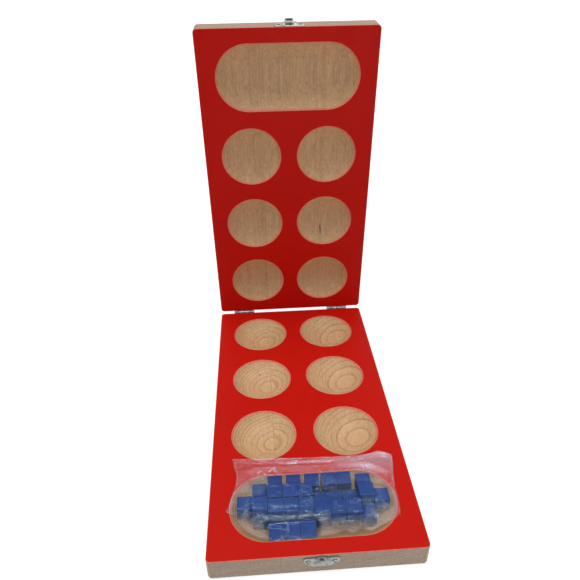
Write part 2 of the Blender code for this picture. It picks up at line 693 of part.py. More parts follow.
def heap_cubes():
    """Return every playing cube as a name, a length and the matrix of its place."""
    half = CUBE_EDGE / 2
    blocks = []
    bottom = [(name, CUBE_EDGE, place) for name, *place in FLOOR_SHARES]
    bottom.append(("back_support_pair", 2 * CUBE_EDGE, JOINED_PAIR_SHARE))
    for name, length, shares in bottom:
        x, y = heap_place(*shares)
        middle = floor_level(x, y, length) + half
        blocks.append((name, length, Matrix.Translation((x, STORE_Y + y, middle))))
    upper = []
    for name, *shares in UPPER_SHARES:
        x, y = heap_place(*shares)
        under = [place.translation.z for _, length, place in blocks
                 if abs(place.translation.x - x) < half + length / 2
                 and abs(place.translation.y - STORE_Y - y) < CUBE_EDGE]
        middle = max(under) + CUBE_EDGE + CUBE_GAP
        upper.append((name, CUBE_EDGE, Matrix.Translation((x, STORE_Y + y, middle))))
    near_along, near_up = near_row()
    lean = Matrix.Rotation(-LEAN_ANGLE, 4, "X")
    for name, across_share in NEAR_WALL_SHARES:
        place = Matrix.Translation((across_share * CUBE_PITCH, STORE_Y + near_along, near_up))
        upper.append((name, CUBE_EDGE, place @ lean))
    return blocks + upper


def build_cubes(parent):
    """Build the playing cubes in their heap."""
    blocks = heap_cubes()
    for name, length, place in blocks:
        cube = add_object("cube_" + name, cube_shape(length), parent, "blue_stain")
        cube.matrix_local = place
    return blocks


def share_between(table, place):
    """Return the value at a place in a table of (place, value) shares, eased between rows."""
    for (start, low), (end, high) in zip(table, table[1:]):
        if place <= end:
            part = (place - start) / (end - start)
            return low + (high - low) * part * part * (3 - 2 * part)
    return table[-1][1]


def block_corners(length, place):
    """Return the eight corners of a block."""
    return [place @ Vector((sx * length / 2, sy * CUBE_EDGE / 2, sz * CUBE_EDGE / 2))
            for sx in (-1, 1) for sy in (-1, 1) for sz in (-1, 1)]


def bag_plan(blocks):
    """Return a function from (across, along) shares to a point of the bag's plan."""
    corners = [corner for _, length, place in blocks for corner in block_corners(length, place)]
    left = min(corner.x for corner in corners)
    right = max(corner.x for corner in corners)
    near = min(corner.y for corner in corners)
    far = max(corner.y for corner in corners)
    far_left = Vector((left - BAG_SIDE_MARGIN_FAR_LEFT, far + BAG_FAR_MARGIN_LEFT))
    far_right = Vector((right + BAG_SIDE_MARGIN_FAR_RIGHT, far + BAG_FAR_MARGIN_RIGHT))
    left_share, right_share = BAG_NEAR_CORNER_SHARES
    near_left = Vector((left - BAG_SIDE_MARGIN_NEAR_LEFT, near + (far - near) * left_share))
    near_right = Vector((right + BAG_SIDE_MARGIN_NEAR_RIGHT, near + (far - near) * right_share))

    def place(across, along):
        """Return the plan point; across runs left to right, along from far to near."""
        back = far_left.lerp(far_right, across)
        front = near_left.lerp(near_right, across)
        front.y += (near - BAG_NEAR_MARGIN - front.y) * share_between(BAG_NEAR_EDGE_SHARES, across)
        point = back.lerp(front, along)
        point.x += math.sin(math.pi * along) * (BAG_WAIST_RIGHT * across - BAG_WAIST_LEFT * (1 - across))
        return point

    return place


def top_over(blocks, points):
    """Return the height that the film clears over the box round some plan points."""
    highest = LEAF_THICKNESS
    for _, length, place in blocks:
        corners = block_corners(length, place)
        meets = all(
            min(corner[axis] for corner in corners) - FILM_GAP < max(point[axis] for point in points)
            and max(corner[axis] for corner in corners) + FILM_GAP > min(point[axis] for point in points)
            for axis in (0, 1)
        )
        if meets:
            highest = max(highest, *(corner.z for corner in corners))
    return highest


def build_bag(parent, blocks):
    """Build the bag's film, which lies over the heap and on the leaf around it."""
    shape = bmesh.new()
    plan = bag_plan(blocks)
    columns = range(BAG_CELLS_ACROSS + 1)
    rows = range(BAG_CELLS_ALONG + 1)
    points = {(i, j): plan(i / BAG_CELLS_ACROSS, j / BAG_CELLS_ALONG) for i in columns for j in rows}
    tops = {(i, j): top_over(blocks, [points[i + right, j + back] for right in (0, 1) for back in (0, 1)])
            for i in columns[:-1] for j in rows[:-1]}
    layers = ({}, {})
    for (i, j), point in points.items():
        around = [tops[cell] for cell in ((i - 1, j - 1), (i, j - 1), (i - 1, j), (i, j)) if cell in tops]
        for number, layer in enumerate(layers):
            layer[i, j] = shape.verts.new((*point, max(around) + FILM_GAP + number * FILM_THICKNESS))
    for i in range(BAG_CELLS_ACROSS):
        for j in range(BAG_CELLS_ALONG):
            for layer in layers:
                ring = ((i, j), (i + 1, j), (i + 1, j + 1), (i, j + 1))
                shape.faces.new([layer[place] for place in ring])
    sides = [(i, 0) for i in range(BAG_CELLS_ACROSS)]
    sides += [(BAG_CELLS_ACROSS, j) for j in range(BAG_CELLS_ALONG)]
    sides += [(i, BAG_CELLS_ALONG) for i in range(BAG_CELLS_ACROSS, 0, -1)]
    sides += [(0, j) for j in range(BAG_CELLS_ALONG, 0, -1)]
    under, over = layers
    for here, there in zip(sides, sides[1:] + sides[:1]):
        shape.faces.new((under[here], under[there], over[there], over[here]))
    bmesh.ops.triangulate(shape, faces=shape.faces)
    bag = add_object("bag_film", shape, parent, "clear_film")
    bag.data.shade_smooth()
    return bag


def end_screws(below_face, columns, end, mirrored):
    """Return pilot hole places of one end face, in the leaf's own frame."""
    sign = -1 if mirrored else 1
    return [(sign * x, LEAF_THICKNESS - below_face, end) for x in columns]


def main():
    """Build the whole board."""
    clear_scene()
    lower = add_empty("lower_board", None, (0.0, 0.0, 0.0), 0.0)
    upper = add_empty("upper_board_axis", lower, (0.0, HINGE_AXIS_Y, HINGE_AXIS_Z), -OPEN_ANGLE)
    hinge_columns = [centre + offset for centre in (-HINGE_SPACING / 2, HINGE_SPACING / 2)
                     for offset in (-HINGE_SCREW_SPACING / 2, HINGE_SCREW_SPACING / 2)]
    hinge_depth = HINGE_SCREW_FROM_AXIS - CLOSED_GAP / 2
    keeper_depth = KEEPER_BELOW_FACE + HASP_SCREW_FROM_EDGE
    base_depth = HASP_BASE_ABOVE_FACE + HASP_SCREW_FROM_EDGE
    lower_screws = end_screws(hinge_depth, hinge_columns, 1, False)
    lower_screws += end_screws(keeper_depth, hasp_screw_columns(), -1, False)
    upper_screws = end_screws(hinge_depth, hinge_columns, 1, True)
    upper_screws += end_screws(base_depth, hasp_screw_columns(), -1, True)
    face_down = Matrix.Translation((0.0, -HINGE_AXIS_Y, LEAF_THICKNESS + CLOSED_GAP / 2))
    face_down = face_down @ Matrix.Rotation(math.pi, 4, "Y")
    build_leaf("lower_leaf", lower, lower_screws, Matrix.Identity(4))
    build_leaf("upper_leaf", upper, upper_screws, face_down)
    build_hinges(lower, upper)
    build_keeper(lower)
    pin_place = build_hasp_base(upper)
    lever_axis = add_empty("hasp_lever_axis", upper, pin_place, -lever_rest_turn())
    build_lever(lever_axis)
    blocks = build_cubes(lower)
    build_bag(lower, blocks)


main()
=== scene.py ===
"""Looks of a folding mancala board: beech leaves, red faces, nickel fittings, blue cubes in a bag.

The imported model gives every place. The leaves, screws and cubes are modelled
again with fine surfaces, the bag is draped over the heap, and the other metal
pieces keep their solids and get a finish.
"""

from __future__ import annotations

import json
import logging
import math
import random
from dataclasses import dataclass
from enum import Enum
from typing import Iterable, Optional, Sequence

import bmesh
import bpy
from mathutils import Euler, Matrix, Vector, noise
from mathutils.bvhtree import BVHTree
from mathutils.geometry import interpolate_bezier


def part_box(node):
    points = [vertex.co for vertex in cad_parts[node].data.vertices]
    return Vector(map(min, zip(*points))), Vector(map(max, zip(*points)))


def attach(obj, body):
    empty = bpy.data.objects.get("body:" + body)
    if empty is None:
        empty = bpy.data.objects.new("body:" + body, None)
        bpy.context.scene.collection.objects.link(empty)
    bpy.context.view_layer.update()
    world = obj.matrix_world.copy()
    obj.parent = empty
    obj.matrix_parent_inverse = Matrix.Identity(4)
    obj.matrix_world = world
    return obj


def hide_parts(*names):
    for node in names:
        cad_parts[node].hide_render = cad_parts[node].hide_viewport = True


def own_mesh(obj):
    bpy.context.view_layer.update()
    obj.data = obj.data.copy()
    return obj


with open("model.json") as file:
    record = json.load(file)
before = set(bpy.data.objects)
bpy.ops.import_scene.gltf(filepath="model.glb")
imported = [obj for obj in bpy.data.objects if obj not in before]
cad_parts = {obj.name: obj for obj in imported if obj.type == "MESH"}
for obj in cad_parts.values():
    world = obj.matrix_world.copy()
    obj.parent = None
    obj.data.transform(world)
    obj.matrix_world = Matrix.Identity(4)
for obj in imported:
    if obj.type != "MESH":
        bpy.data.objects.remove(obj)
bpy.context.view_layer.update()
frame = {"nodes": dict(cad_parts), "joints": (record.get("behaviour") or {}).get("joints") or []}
LOG = logging.getLogger("mancala_board")

IMAGE_SIZE = 580
OVERRUN = 0.002
MERGE = 0.000001
BROAD_FACE = 0.0001
WHITE = (1.0, 1.0, 1.0, 1.0)
GRAIN_SETTINGS = ("heart_x", "heart_step", "heart_z", "ring_pitch", "pitch_step", "ring_strength",
                  "streak_strength", "thread_strength", "glue_line", "stave_width")
CLOTH = {"quality": 7, "mass": 0.25, "air_damping": 2.0, "tension_stiffness": 40.0,
         "compression_stiffness": 40.0, "shear_stiffness": 15.0, "bending_stiffness": 0.4,
         "vertex_group_mass": "held"}
CLOTH_TOUCH = {"distance_min": 0.009, "collision_quality": 3, "use_self_collision": False}

Value = object
Colour = tuple[float, float, float, float]
Place = tuple[float, float, float]
Node = bpy.types.Node
Socket = bpy.types.NodeSocket
Shape = bmesh.types.BMesh
Material = bpy.types.Material
Item = bpy.types.Object


class Body(Enum):
    """The bodies that the pieces made here ride on."""

    LOWER = "lower_board"
    UPPER = "upper_board"


class Slot(Enum):
    """The material slots of the record."""

    BEECH = "beech"
    NICKEL = "nickel"
    STAIN = "blue_stain"
    FILM = "clear_film"


class HeadStyle(Enum):
    """How a screw's head is shaped."""

    COUNTERSUNK = "countersunk"
    ROUND = "round"


class NodeBench:
    """A node tree while it is put together."""

    def __init__(self, tree: bpy.types.NodeTree) -> None:
        """Keep the tree of a material, a world or a group."""
        self.tree = tree

    def fill(self, socket: Socket, value: Value) -> None:
        """Set a socket's constant, or link an output to it.

        Args:
            socket: An input of a node.
            value: A constant or an output socket.
        """
        if isinstance(value, Socket):
            self.tree.links.new(value, socket)
        else:
            socket.default_value = value

    def dress(self, node: Node, sockets: dict) -> Node:
        """Fill or link several inputs of a node, and return the node.

        Args:
            node: The node.
            sockets: Input names or numbers, with a constant or an output socket each.

        Returns:
            The same node.
        """
        for key, value in sockets.items():
            self.fill(node.inputs[key], value)
        return node

    def add(self, kind: str, sockets: Optional[dict] = None, **settings: Value) -> Node:
        """Add a node with its settings, and fill or link its inputs.

        Args:
            kind: The node's type name after "ShaderNode", or its whole name.
            sockets: Input names or numbers, with a constant or an output socket each.
            settings: Attributes of the node.

        Returns:
            The new node.
        """
        node = self.tree.nodes.new(kind if kind.startswith("Node") else "ShaderNode" + kind)
        for name, value in settings.items():
            setattr(node, name, value)
        return self.dress(node, sockets or {})

    def group(self, tree: bpy.types.NodeTree, sockets: dict) -> Node:
        """Place a node group with its values."""
        return self.dress(self.add("Group", node_tree=tree), sockets)

    def math(self, operation: str, first: Value, second: Value = 0.0, clamp: bool = False) -> Socket:
        """Return the result of a Math node."""
        return self.add("Math", {0: first, 1: second}, operation=operation, use_clamp=clamp).outputs[0]

    def times(self, first: Value, *others: Value) -> Value:
        """Return the product of some values.

        Args:
            first: The first factor.
            others: The other factors.

        Returns:
            The product.
        """
        for other in others:
            first = self.math("MULTIPLY", first, other)
        return first

    def plus(self, first: Value, second: Value, clamp: bool = False) -> Socket:
        """Return a sum, held between 0 and 1 if asked."""
        return self.math("ADD", first, second, clamp)

    def minus(self, first: Value, second: Value) -> Socket:
        """Return a difference."""
        return self.math("SUBTRACT", first, second)

    def over(self, first: Value, second: Value) -> Socket:
        """Return a quotient."""
        return self.math("DIVIDE", first, second)

    def vector(self, operation: str, first: Value, second: Value) -> Socket:
        """Return the vector that a Vector Math node makes."""
        return self.add("VectorMath", {0: first, 1: second}, operation=operation).outputs[0]

    def place(self) -> Socket:
        """Return where the shaded point lies in the part's frame."""
        return self.add("TexCoord").outputs["Object"]

    def length(self, vector: Socket) -> Socket:
        """Return a vector's length."""
        return self.add("VectorMath", {0: vector}, operation="LENGTH").outputs[1]

    def axis(self, vector: Socket, number: int) -> Socket:
        """Return a vector's X, Y or Z, numbered from 0."""
        return self.add("SeparateXYZ", {0: vector}).outputs[number]

    def attribute(self, name: str) -> Socket:
        """Return the value of a mesh attribute."""
        return self.add("Attribute", attribute_name=name).outputs["Fac"]

    def noise(self, place: Value, scale: float, detail: float = 2.0, roughness: float = 0.5) -> Socket:
        """Return the value of a Noise Texture."""
        sockets = {"Vector": place, "Scale": scale, "Detail": detail, "Roughness": roughness}
        return self.add("TexNoise", sockets).outputs[0]

    def chance(self, seed: Socket) -> Socket:
        """Return a random value between 0 and 1 for a number."""
        return self.add("TexWhiteNoise", {"W": seed}, noise_dimensions="1D").outputs[0]

    def ease(self, value: Value, start: float, end: float, low: float = 0.0, high: float = 1.0) -> Socket:
        """Return a value eased from low to high as it goes from start to end."""
        sockets = {"Value": value, "From Min": start, "From Max": end, "To Min": low, "To Max": high}
        return self.add("MapRange", sockets, interpolation_type="SMOOTHSTEP").outputs[0]

    def blend(self, share: Value, first: Value, second: Value, mode: str = "MIX") -> Socket:
        """Return one colour laid over another."""
        node = self.add("Mix", {0: share, 6: first, 7: second}, data_type="RGBA", blend_type=mode)
        return node.outputs[2]

    def bump(self, height: Socket, strength: float, distance: float,
             under: Optional[Socket] = None) -> Socket:
        """Return the normal of a small relief, laid over another normal if one is given.

        Args:
            height: The relief's height.
            strength: How much of it shows, from 0 to 1.
            distance: Its depth in metres.
            under: The normal of a relief below it.

        Returns:
            A normal.
        """
        sockets = {"Height": height, "Strength": strength, "Distance": distance}
        if under is not None:
            sockets["Normal"] = under
        return self.add("Bump", sockets).outputs[0]


def new_group(name: str, inputs: Sequence[tuple], outputs: Sequence[tuple]) -> tuple:
    """Make an empty node group.

    Args:
        name: The group's name.
        inputs: Name, socket type and default of each input.
        outputs: Name and socket type of each output.

    Returns:
        The bench of the group, its input node and its output node.
    """
    tree = bpy.data.node_groups.new(name, "ShaderNodeTree")
    for label, kind, default in inputs:
        socket = tree.interface.new_socket(name=label, in_out="INPUT", socket_type=kind)
        if default is not None:
            socket.default_value = default
    for label, kind in outputs:
        tree.interface.new_socket(name=label, in_out="OUTPUT", socket_type=kind)
    bench = NodeBench(tree)
    return bench, bench.add("NodeGroupInput"), bench.add("NodeGroupOutput")


@dataclass(frozen=True)
class BeechTones:
    """Colours of beech and of what shows in it."""

    pale: Colour = (0.655, 0.43, 0.255, 1.0)
    warm: Colour = (0.66, 0.455, 0.262, 1.0)
    band: Colour = (0.56, 0.355, 0.205, 1.0)
    late: Colour = (0.42, 0.24, 0.125, 1.0)
    ring: Colour = (0.30, 0.155, 0.075, 1.0)
    pore: Colour = (0.30, 0.165, 0.085, 1.0)
    fibre: Colour = (0.27, 0.15, 0.08, 1.0)
    fleck: Colour = (0.80, 0.60, 0.41, 1.0)
    glue: Colour = (0.30, 0.17, 0.09, 1.0)


def beech_group() -> bpy.types.NodeTree:
    """Return the group that grows beech staves: rings round lines along Y, pores and silky flecks.

    Returns:
        A group with a colour, a roughness and a height.
    """
    number = "NodeSocketFloat"
    bench, given, made = new_group(
        "beech_grain",
        [("Place", "NodeSocketVector", None)] + [(name, number, 0.0) for name in GRAIN_SETTINGS],
        (("Color", "NodeSocketColor"), ("Roughness", number), ("Height", number)),
    )
    value = given.outputs
    place = value["Place"]
    staves = bench.over(bench.minus(bench.axis(place, 0), value["glue_line"]), value["stave_width"])
    stave = bench.math("FLOOR", staves)
    own = bench.chance(bench.plus(stave, 7.3))
    joint = bench.times(bench.math("PINGPONG", staves, 0.5), value["stave_width"])
    glue = bench.ease(joint, 0.00022, 0.00008)
    shift = bench.add("CombineXYZ", {1: bench.times(stave, 0.37)}).outputs[0]
    shifted = bench.vector("ADD", place, shift)

    def grown(stretch: Place, scale: float, detail: float, roughness: float = 0.5) -> Socket:
        """Return noise drawn out along the grain."""
        return bench.noise(bench.vector("MULTIPLY", shifted, stretch), scale, detail, roughness)

    wander = bench.minus(grown((1.0, 0.22, 1.0), 20.0, 2.0), 0.5)
    heart = bench.plus(value["heart_x"], bench.times(stave, value["heart_step"]))
    across = bench.minus(bench.axis(place, 0), heart)
    up = bench.minus(bench.axis(place, 2), value["heart_z"])
    distance = bench.math("SQRT", bench.plus(bench.times(across, across), bench.times(up, up)))
    distance = bench.plus(distance, bench.times(wander, 0.0065))
    pitch = bench.plus(value["ring_pitch"], bench.times(stave, value["pitch_step"]))
    turns = bench.over(distance, pitch)
    season = bench.add("TexNoise", {"W": turns, "Scale": 0.6, "Detail": 1.0}, noise_dimensions="1D")
    turns = bench.plus(turns, season.outputs[0])
    phase = bench.math("FRACT", turns)
    vigour = bench.chance(bench.math("FLOOR", turns))
    strength = value["ring_strength"]
    line = bench.times(bench.ease(phase, 0.70, 0.96), bench.ease(phase, 1.0, 0.97),
                       bench.ease(vigour, 0.1, 0.9, 0.45, 1.0), strength)
    band = bench.times(bench.minus(vigour, 0.5), strength)
    late = bench.times(bench.math("POWER", phase, 2.0), strength)
    pores = bench.ease(grown((1.0, 0.16, 0.8), 900.0, 1.5, 0.6), 0.54, 0.70)
    fine = bench.ease(grown((1.0, 0.16, 0.8), 1900.0, 1.0, 0.6), 0.52, 0.68)
    streaks = bench.minus(grown((1.0, 0.02, 1.0), 190.0, 3.0, 0.6), 0.5)
    threads = bench.minus(grown((1.0, 0.05, 1.0), 760.0, 2.0, 0.6), 0.5)
    flecks = bench.ease(grown((1.0, 0.35, 0.6), 850.0, 1.0), 0.52, 0.66)
    tones = BeechTones()
    tone = bench.blend(own, tones.pale, tones.warm)
    tone = bench.blend(bench.plus(bench.times(band, 0.55), 0.35, clamp=True), tone, tones.band)
    for mask, share, colour in (
        (late, 0.30, tones.late), (line, 0.62, tones.ring), (pores, 0.26, tones.pore),
        (fine, 0.15, tones.fibre), (flecks, 0.22, tones.fleck), (glue, 0.55, tones.glue),
    ):
        tone = bench.blend(bench.times(mask, share), tone, colour)
    shade = bench.plus(bench.times(streaks, value["streak_strength"]),
                       bench.times(threads, value["thread_strength"]))
    shade = bench.plus(shade, 1.0)
    grey = bench.add("CombineColor", {0: shade, 1: shade, 2: shade}).outputs[0]
    bench.dress(made, {
        "Color": bench.blend(1.0, tone, grey, "MULTIPLY"),
        "Roughness": bench.plus(bench.times(pores, 0.15), 0.52),
        "Height": bench.minus(bench.times(flecks, 0.3), pores),
    })
    return bench.tree


def mark_group() -> bpy.types.NodeTree:
    """Return the group that makes a soft mask of a long spot, such as a knot or a dark streak.

    Returns:
        A group with a mask.
    """
    bench, given, made = new_group(
        "long_mark",
        (("Place", "NodeSocketVector", None), ("Centre", "NodeSocketVector", None),
         ("Half Size", "NodeSocketVector", (0.001, 0.001, 0.001))),
        (("Mask", "NodeSocketFloat"),),
    )
    away = bench.vector("SUBTRACT", given.outputs["Place"], given.outputs["Centre"])
    ratio = bench.vector("DIVIDE", away, given.outputs["Half Size"])
    ragged = bench.plus(bench.length(ratio), bench.times(bench.noise(given.outputs["Place"], 1200.0), 0.5))
    bench.dress(made, {"Mask": bench.ease(ragged, 1.35, 0.75)})
    return bench.tree


def coat_group() -> bpy.types.NodeTree:
    """Return the group that makes the slight unevenness of paint, plate and stain.

    Returns:
        A group with a tone, a roughness and a height.
    """
    number = "NodeSocketFloat"
    bench, given, made = new_group(
        "coat_texture", (("Place", "NodeSocketVector", None), ("Scale", number, 60.0)),
        (("Tone", number), ("Roughness", number), ("Height", number)),
    )
    place = given.outputs["Place"]
    scaled = bench.add("VectorMath", {0: place, 3: given.outputs["Scale"]}, operation="SCALE").outputs[0]
    bench.dress(made, {
        "Tone": bench.noise(scaled, 0.4, 2.0),
        "Roughness": bench.ease(bench.noise(scaled, 1.5, 3.0), 0.3, 0.7, -0.05, 0.07),
        "Height": bench.noise(scaled, 14.0, 2.0, 0.6),
    })
    return bench.tree


class Workshop:
    """The node groups that the finishes share, made once."""

    def __init__(self) -> None:
        """Make the groups."""
        self.beech = beech_group()
        self.mark = mark_group()
        self.coat = coat_group()


@dataclass(frozen=True)
class Mark:
    """A dark spot in the wood, placed in the part's frame."""

    centre: Place
    half_size: Place
    strength: float


@dataclass(frozen=True)
class BeechFinish:
    """Bare beech of one leaf, with where its rings grew."""

    heart_x: float
    heart_z: float
    ring_pitch: float
    pitch_step: float
    ring_strength: float
    streak_strength: float
    thread_strength: float
    glue_line: float
    # tint multiplies the whole wood colour; on the upper leaf its darkening is painted shade.
    tint: Colour
    end_tint: Colour
    marks: tuple[Mark, ...]
    mark_tone: Colour = (0.06, 0.035, 0.02, 1.0)
    heart_step: float = 0.0125
    stave_width: float = 0.0455
    half_length: float = 0.132
    end_start: float = 0.0008
    end_full: float = 0.0002

    def colour(self, bench: NodeBench, shop: Workshop, placement: Matrix) -> dict:
        """Lay the grain in the leaf's own frame.

        Args:
            bench: The material's bench.
            shop: The shared groups.
            placement: The leaf's place in the part's frame.

        Returns:
            The colour, roughness and height sockets, and the place in the leaf's frame.
        """
        back = placement.inverted()
        place = bench.place()
        local = bench.add("Mapping", {"Vector": place, "Location": back.translation[:],
                                      "Rotation": back.to_euler("XYZ")[:]}).outputs[0]
        settings = {name: getattr(self, name) for name in GRAIN_SETTINGS}
        grain = bench.group(shop.beech, {"Place": local, **settings})
        tone = bench.blend(1.0, grain.outputs["Color"], self.tint, "MULTIPLY")
        reach = bench.math("ABSOLUTE", bench.axis(local, 1))
        end = bench.ease(reach, self.half_length - self.end_start, self.half_length - self.end_full)
        tone = bench.blend(end, tone, bench.blend(1.0, tone, self.end_tint, "MULTIPLY"))
        for mark in self.marks:
            spot = bench.group(shop.mark, {"Place": place, "Centre": mark.centre,
                                           "Half Size": mark.half_size})
            tone = bench.blend(bench.times(spot.outputs["Mask"], mark.strength), tone, self.mark_tone)
        return {"tone": tone, "roughness": grain.outputs["Roughness"], "height": grain.outputs["Height"],
                "place": local}

    def material(self, name: str, shop: Workshop, placement: Matrix) -> Material:
        """Return the bare wood's material.

        Args:
            name: The material's name.
            shop: The shared groups.
            placement: The leaf's place in the part's frame.

        Returns:
            The new material.
        """
        surface, bench, shader = new_material(name)
        grain = self.colour(bench, shop, placement)
        bench.dress(shader, {
            "Base Color": grain["tone"], "Roughness": grain["roughness"], "Specular IOR Level": 0.35,
            "Normal": bench.bump(grain["height"], 0.25, 0.00012),
        })
        return surface


@dataclass(frozen=True)
class RedPaint:
    """Satin red paint, with the wood's grain faintly under it."""

    deep: Colour = (0.54, 0.007, 0.003, 1.0)
    bright: Colour = (0.60, 0.010, 0.004, 1.0)
    thin: Colour = (0.76, 0.24, 0.175, 1.0)
    roughness: float = 0.42
    bare_share: float = 0.0

    def material(self, name: str, wood: BeechFinish, shop: Workshop, placement: Matrix) -> Material:
        """Return the paint's material; bare_share lets the wood show, as on a worn edge.

        Args:
            name: The material's name.
            wood: The finish of the wood under the paint.
            shop: The shared groups.
            placement: The leaf's place in the part's frame.

        Returns:
            The new material.
        """
        surface, bench, shader = new_material(name)
        grain = wood.colour(bench, shop, placement)
        coat = bench.group(shop.coat, {"Place": grain["place"], "Scale": 60.0})
        tone = bench.blend(coat.outputs["Tone"], self.deep, self.bright)
        if self.bare_share:
            cover = bench.ease(bench.noise(grain["place"], 700.0, 2.0), 0.30, 0.75, 0.0, 0.45)
            tone = bench.blend(cover, self.thin, tone)
            tone = bench.blend(self.bare_share, tone, grain["tone"])
        under = bench.bump(grain["height"], 0.10, 0.00010)
        bench.dress(shader, {
            "Base Color": tone, "Roughness": bench.plus(coat.outputs["Roughness"], self.roughness),
            "Specular IOR Level": 0.08, "Normal": bench.bump(coat.outputs["Height"], 0.10, 0.00025, under),
        })
        return surface


@dataclass(frozen=True)
class NickelFinish:
    """Nickel plate on pressed steel, a little dull and marked."""

    bright: Colour = (0.30, 0.31, 0.30, 1.0)
    dull: Colour = (0.16, 0.17, 0.16, 1.0)
    roughness: float = 0.22

    def material(self, name: str, shop: Workshop) -> Material:
        """Return the metal's material.

        Args:
            name: The material's name.
            shop: The shared groups.

        Returns:
            The new material.
        """
        surface, bench, shader = new_material(name)
        place = bench.place()
        coat = bench.group(shop.coat, {"Place": place, "Scale": 700.0})
        stain = bench.ease(bench.noise(place, 260.0, 2.0), 0.42, 0.66)
        rough = bench.plus(coat.outputs["Roughness"], self.roughness)
        scratches = bench.noise(bench.vector("MULTIPLY", place, (1.0, 8.0, 8.0)), 900.0, 2.0)
        bench.dress(shader, {
            "Base Color": bench.blend(stain, self.bright, self.dull), "Metallic": 1.0,
            "Roughness": bench.plus(rough, bench.times(stain, 0.12)),
            "Normal": bench.bump(scratches, 0.08, 0.00008),
        })
        return surface


@dataclass(frozen=True)
class BlueStain:
    """Blue stain soaked into small wooden cubes, paler where the corners are rubbed."""

    stain: Colour = (0.010, 0.042, 0.215, 1.0)
    light: Colour = (0.026, 0.072, 0.280, 1.0)
    rubbed: Colour = (0.10, 0.19, 0.52, 1.0)

    def material(self, name: str, shop: Workshop) -> Material:
        """Return the stained wood's material; it reads each cube's tone and rubbed attributes.

        Args:
            name: The material's name.
            shop: The shared groups.

        Returns:
            The new material.
        """
        surface, bench, shader = new_material(name)
        place = bench.place()
        fibres = bench.noise(bench.vector("MULTIPLY", place, (0.12, 1.0, 1.0)), 1700.0, 2.0, 0.6)
        own = bench.times(bench.attribute("tone"), 0.55)
        tone = bench.blend(bench.plus(bench.times(fibres, 0.35), own, clamp=True), self.stain, self.light)
        patches = bench.ease(bench.noise(place, 500.0, 2.0), 0.40, 0.65)
        tone = bench.blend(bench.times(bench.attribute("rubbed"), patches, 0.35), tone, self.rubbed)
        coat = bench.group(shop.coat, {"Place": place, "Scale": 300.0})
        bench.dress(shader, {
            "Base Color": tone, "Roughness": bench.plus(coat.outputs["Roughness"], 0.62),
            "Specular IOR Level": 0.12, "Normal": bench.bump(fibres, 0.3, 0.00010),
        })
        return surface


@dataclass(frozen=True)
class ClearFilm:
    """Thin clear film: it lets most light through, mirrors a little and is milky in its folds; its milky
    folds and crease lines are also painted glints.
    """

    haze: float = 0.018
    loose_haze: float = 0.012
    hollow_haze: float = 0.13
    strip_haze: float = 0.08
    fold_haze_and_glint: float = 0.12
    cloud_haze: float = 0.03
    edge_haze: float = 0.12
    line_haze_and_glint: float = 0.15
    metal: float = 0.50
    hollow_metal: float = 0.0
    tone: Colour = (0.66, 0.88, 1.00, 1.0)
    hollow_tone: Colour = (0.95, 0.78, 0.75, 1.0)

    def lines(self, bench: NodeBench, place: Socket) -> Socket:
        """Return a mask of thin wandering crease lines, in patches: milky film and painted glints.

        Args:
            bench: The material's bench.
            place: The shaded point.

        Returns:
            A share between 0 and 1.
        """
        masks = []
        for turn, stretch, scale, width in (
            (-0.7, (0.5, 1.5, 0.8), 75.0, 0.018), (0.25, (0.6, 1.4, 0.8), 140.0, 0.024),
        ):
            drawn = bench.add("Mapping", {"Vector": place, "Rotation": (0.0, 0.0, turn), "Scale": stretch})
            wave = bench.noise(drawn.outputs[0], scale, 1.5, 0.55)
            masks.append(bench.ease(bench.math("ABSOLUTE", bench.minus(wave, 0.5)), width, 0.0))
        patches = bench.ease(bench.noise(place, 70.0, 2.0), 0.46, 0.60, 0.15, 1.0)
        return bench.times(bench.math("MAXIMUM", *masks), patches)

    def veil(self, bench: NodeBench, place: Socket, loose: Socket, hollow: Socket) -> Socket:
        """Return how milky the film is, with painted glints along its folds and crease lines.

        Args:
            bench: The material's bench.
            place: The shaded point.
            loose: How freely the film hangs there.
            hollow: How much of it is free film by the rim of the store.

        Returns:
            A share between 0 and 1.
        """
        edge = bench.add("LayerWeight", {"Blend": 0.35}).outputs["Facing"]
        cloud = bench.ease(bench.noise(place, 160.0, 4.0, 0.65), 0.42, 0.70)
        strip = bench.times(bench.ease(bench.axis(place, 0), 0.010, 0.040),
                            bench.ease(bench.axis(place, 1), -0.078, -0.068), loose)
        milky: Value = self.haze
        # The fold and line shares whiten the film as painted glints along its creases, beside its milkiness.
        for mask, share in (
            (bench.math("POWER", bench.attribute("crease"), 1.4), self.fold_haze_and_glint),
            (loose, self.loose_haze), (hollow, self.hollow_haze), (strip, self.strip_haze),
            (bench.times(cloud, loose), self.cloud_haze), (bench.math("POWER", edge, 3.5), self.edge_haze),
        ):
            milky = bench.plus(bench.times(mask, share), milky)
        return bench.plus(milky, bench.times(self.lines(bench, place), self.line_haze_and_glint), clamp=True)

    def material(self, name: str) -> Material:
        """Return the film's material; it reads the mesh's crease, loose and over_hollow attributes.

        Args:
            name: The material's name.

        Returns:
            The new material.
        """
        surface, bench, shader = new_material(name)
        place = bench.place()
        loose = bench.attribute("loose")
        hollow = bench.times(bench.attribute("over_hollow"), loose)
        fine = bench.noise(place, 650.0, 3.0, 0.6)
        ridges = bench.math("ABSOLUTE", bench.minus(bench.noise(place, 260.0, 2.0), 0.5))
        bench.dress(shader, {
            "Alpha": self.veil(bench, place, loose, hollow),
            "Base Color": bench.blend(hollow, self.tone, self.hollow_tone),
            "Metallic": bench.ease(hollow, 0.0, 1.0, self.metal, self.hollow_metal),
            "Roughness": 0.14, "Specular IOR Level": 0.8,
            "Normal": bench.bump(bench.minus(bench.times(fine, 0.4), ridges), 0.60, 0.0008),
        })
        return surface


def new_material(name: str) -> tuple:
    """Return a new material, its bench and its Principled shader.

    Args:
        name: The material's name.

    Returns:
        The material, its bench and its shader node.
    """
    surface = bpy.data.materials.new(name)
    surface.use_nodes = True
    return surface, NodeBench(surface.node_tree), surface.node_tree.nodes["Principled BSDF"]


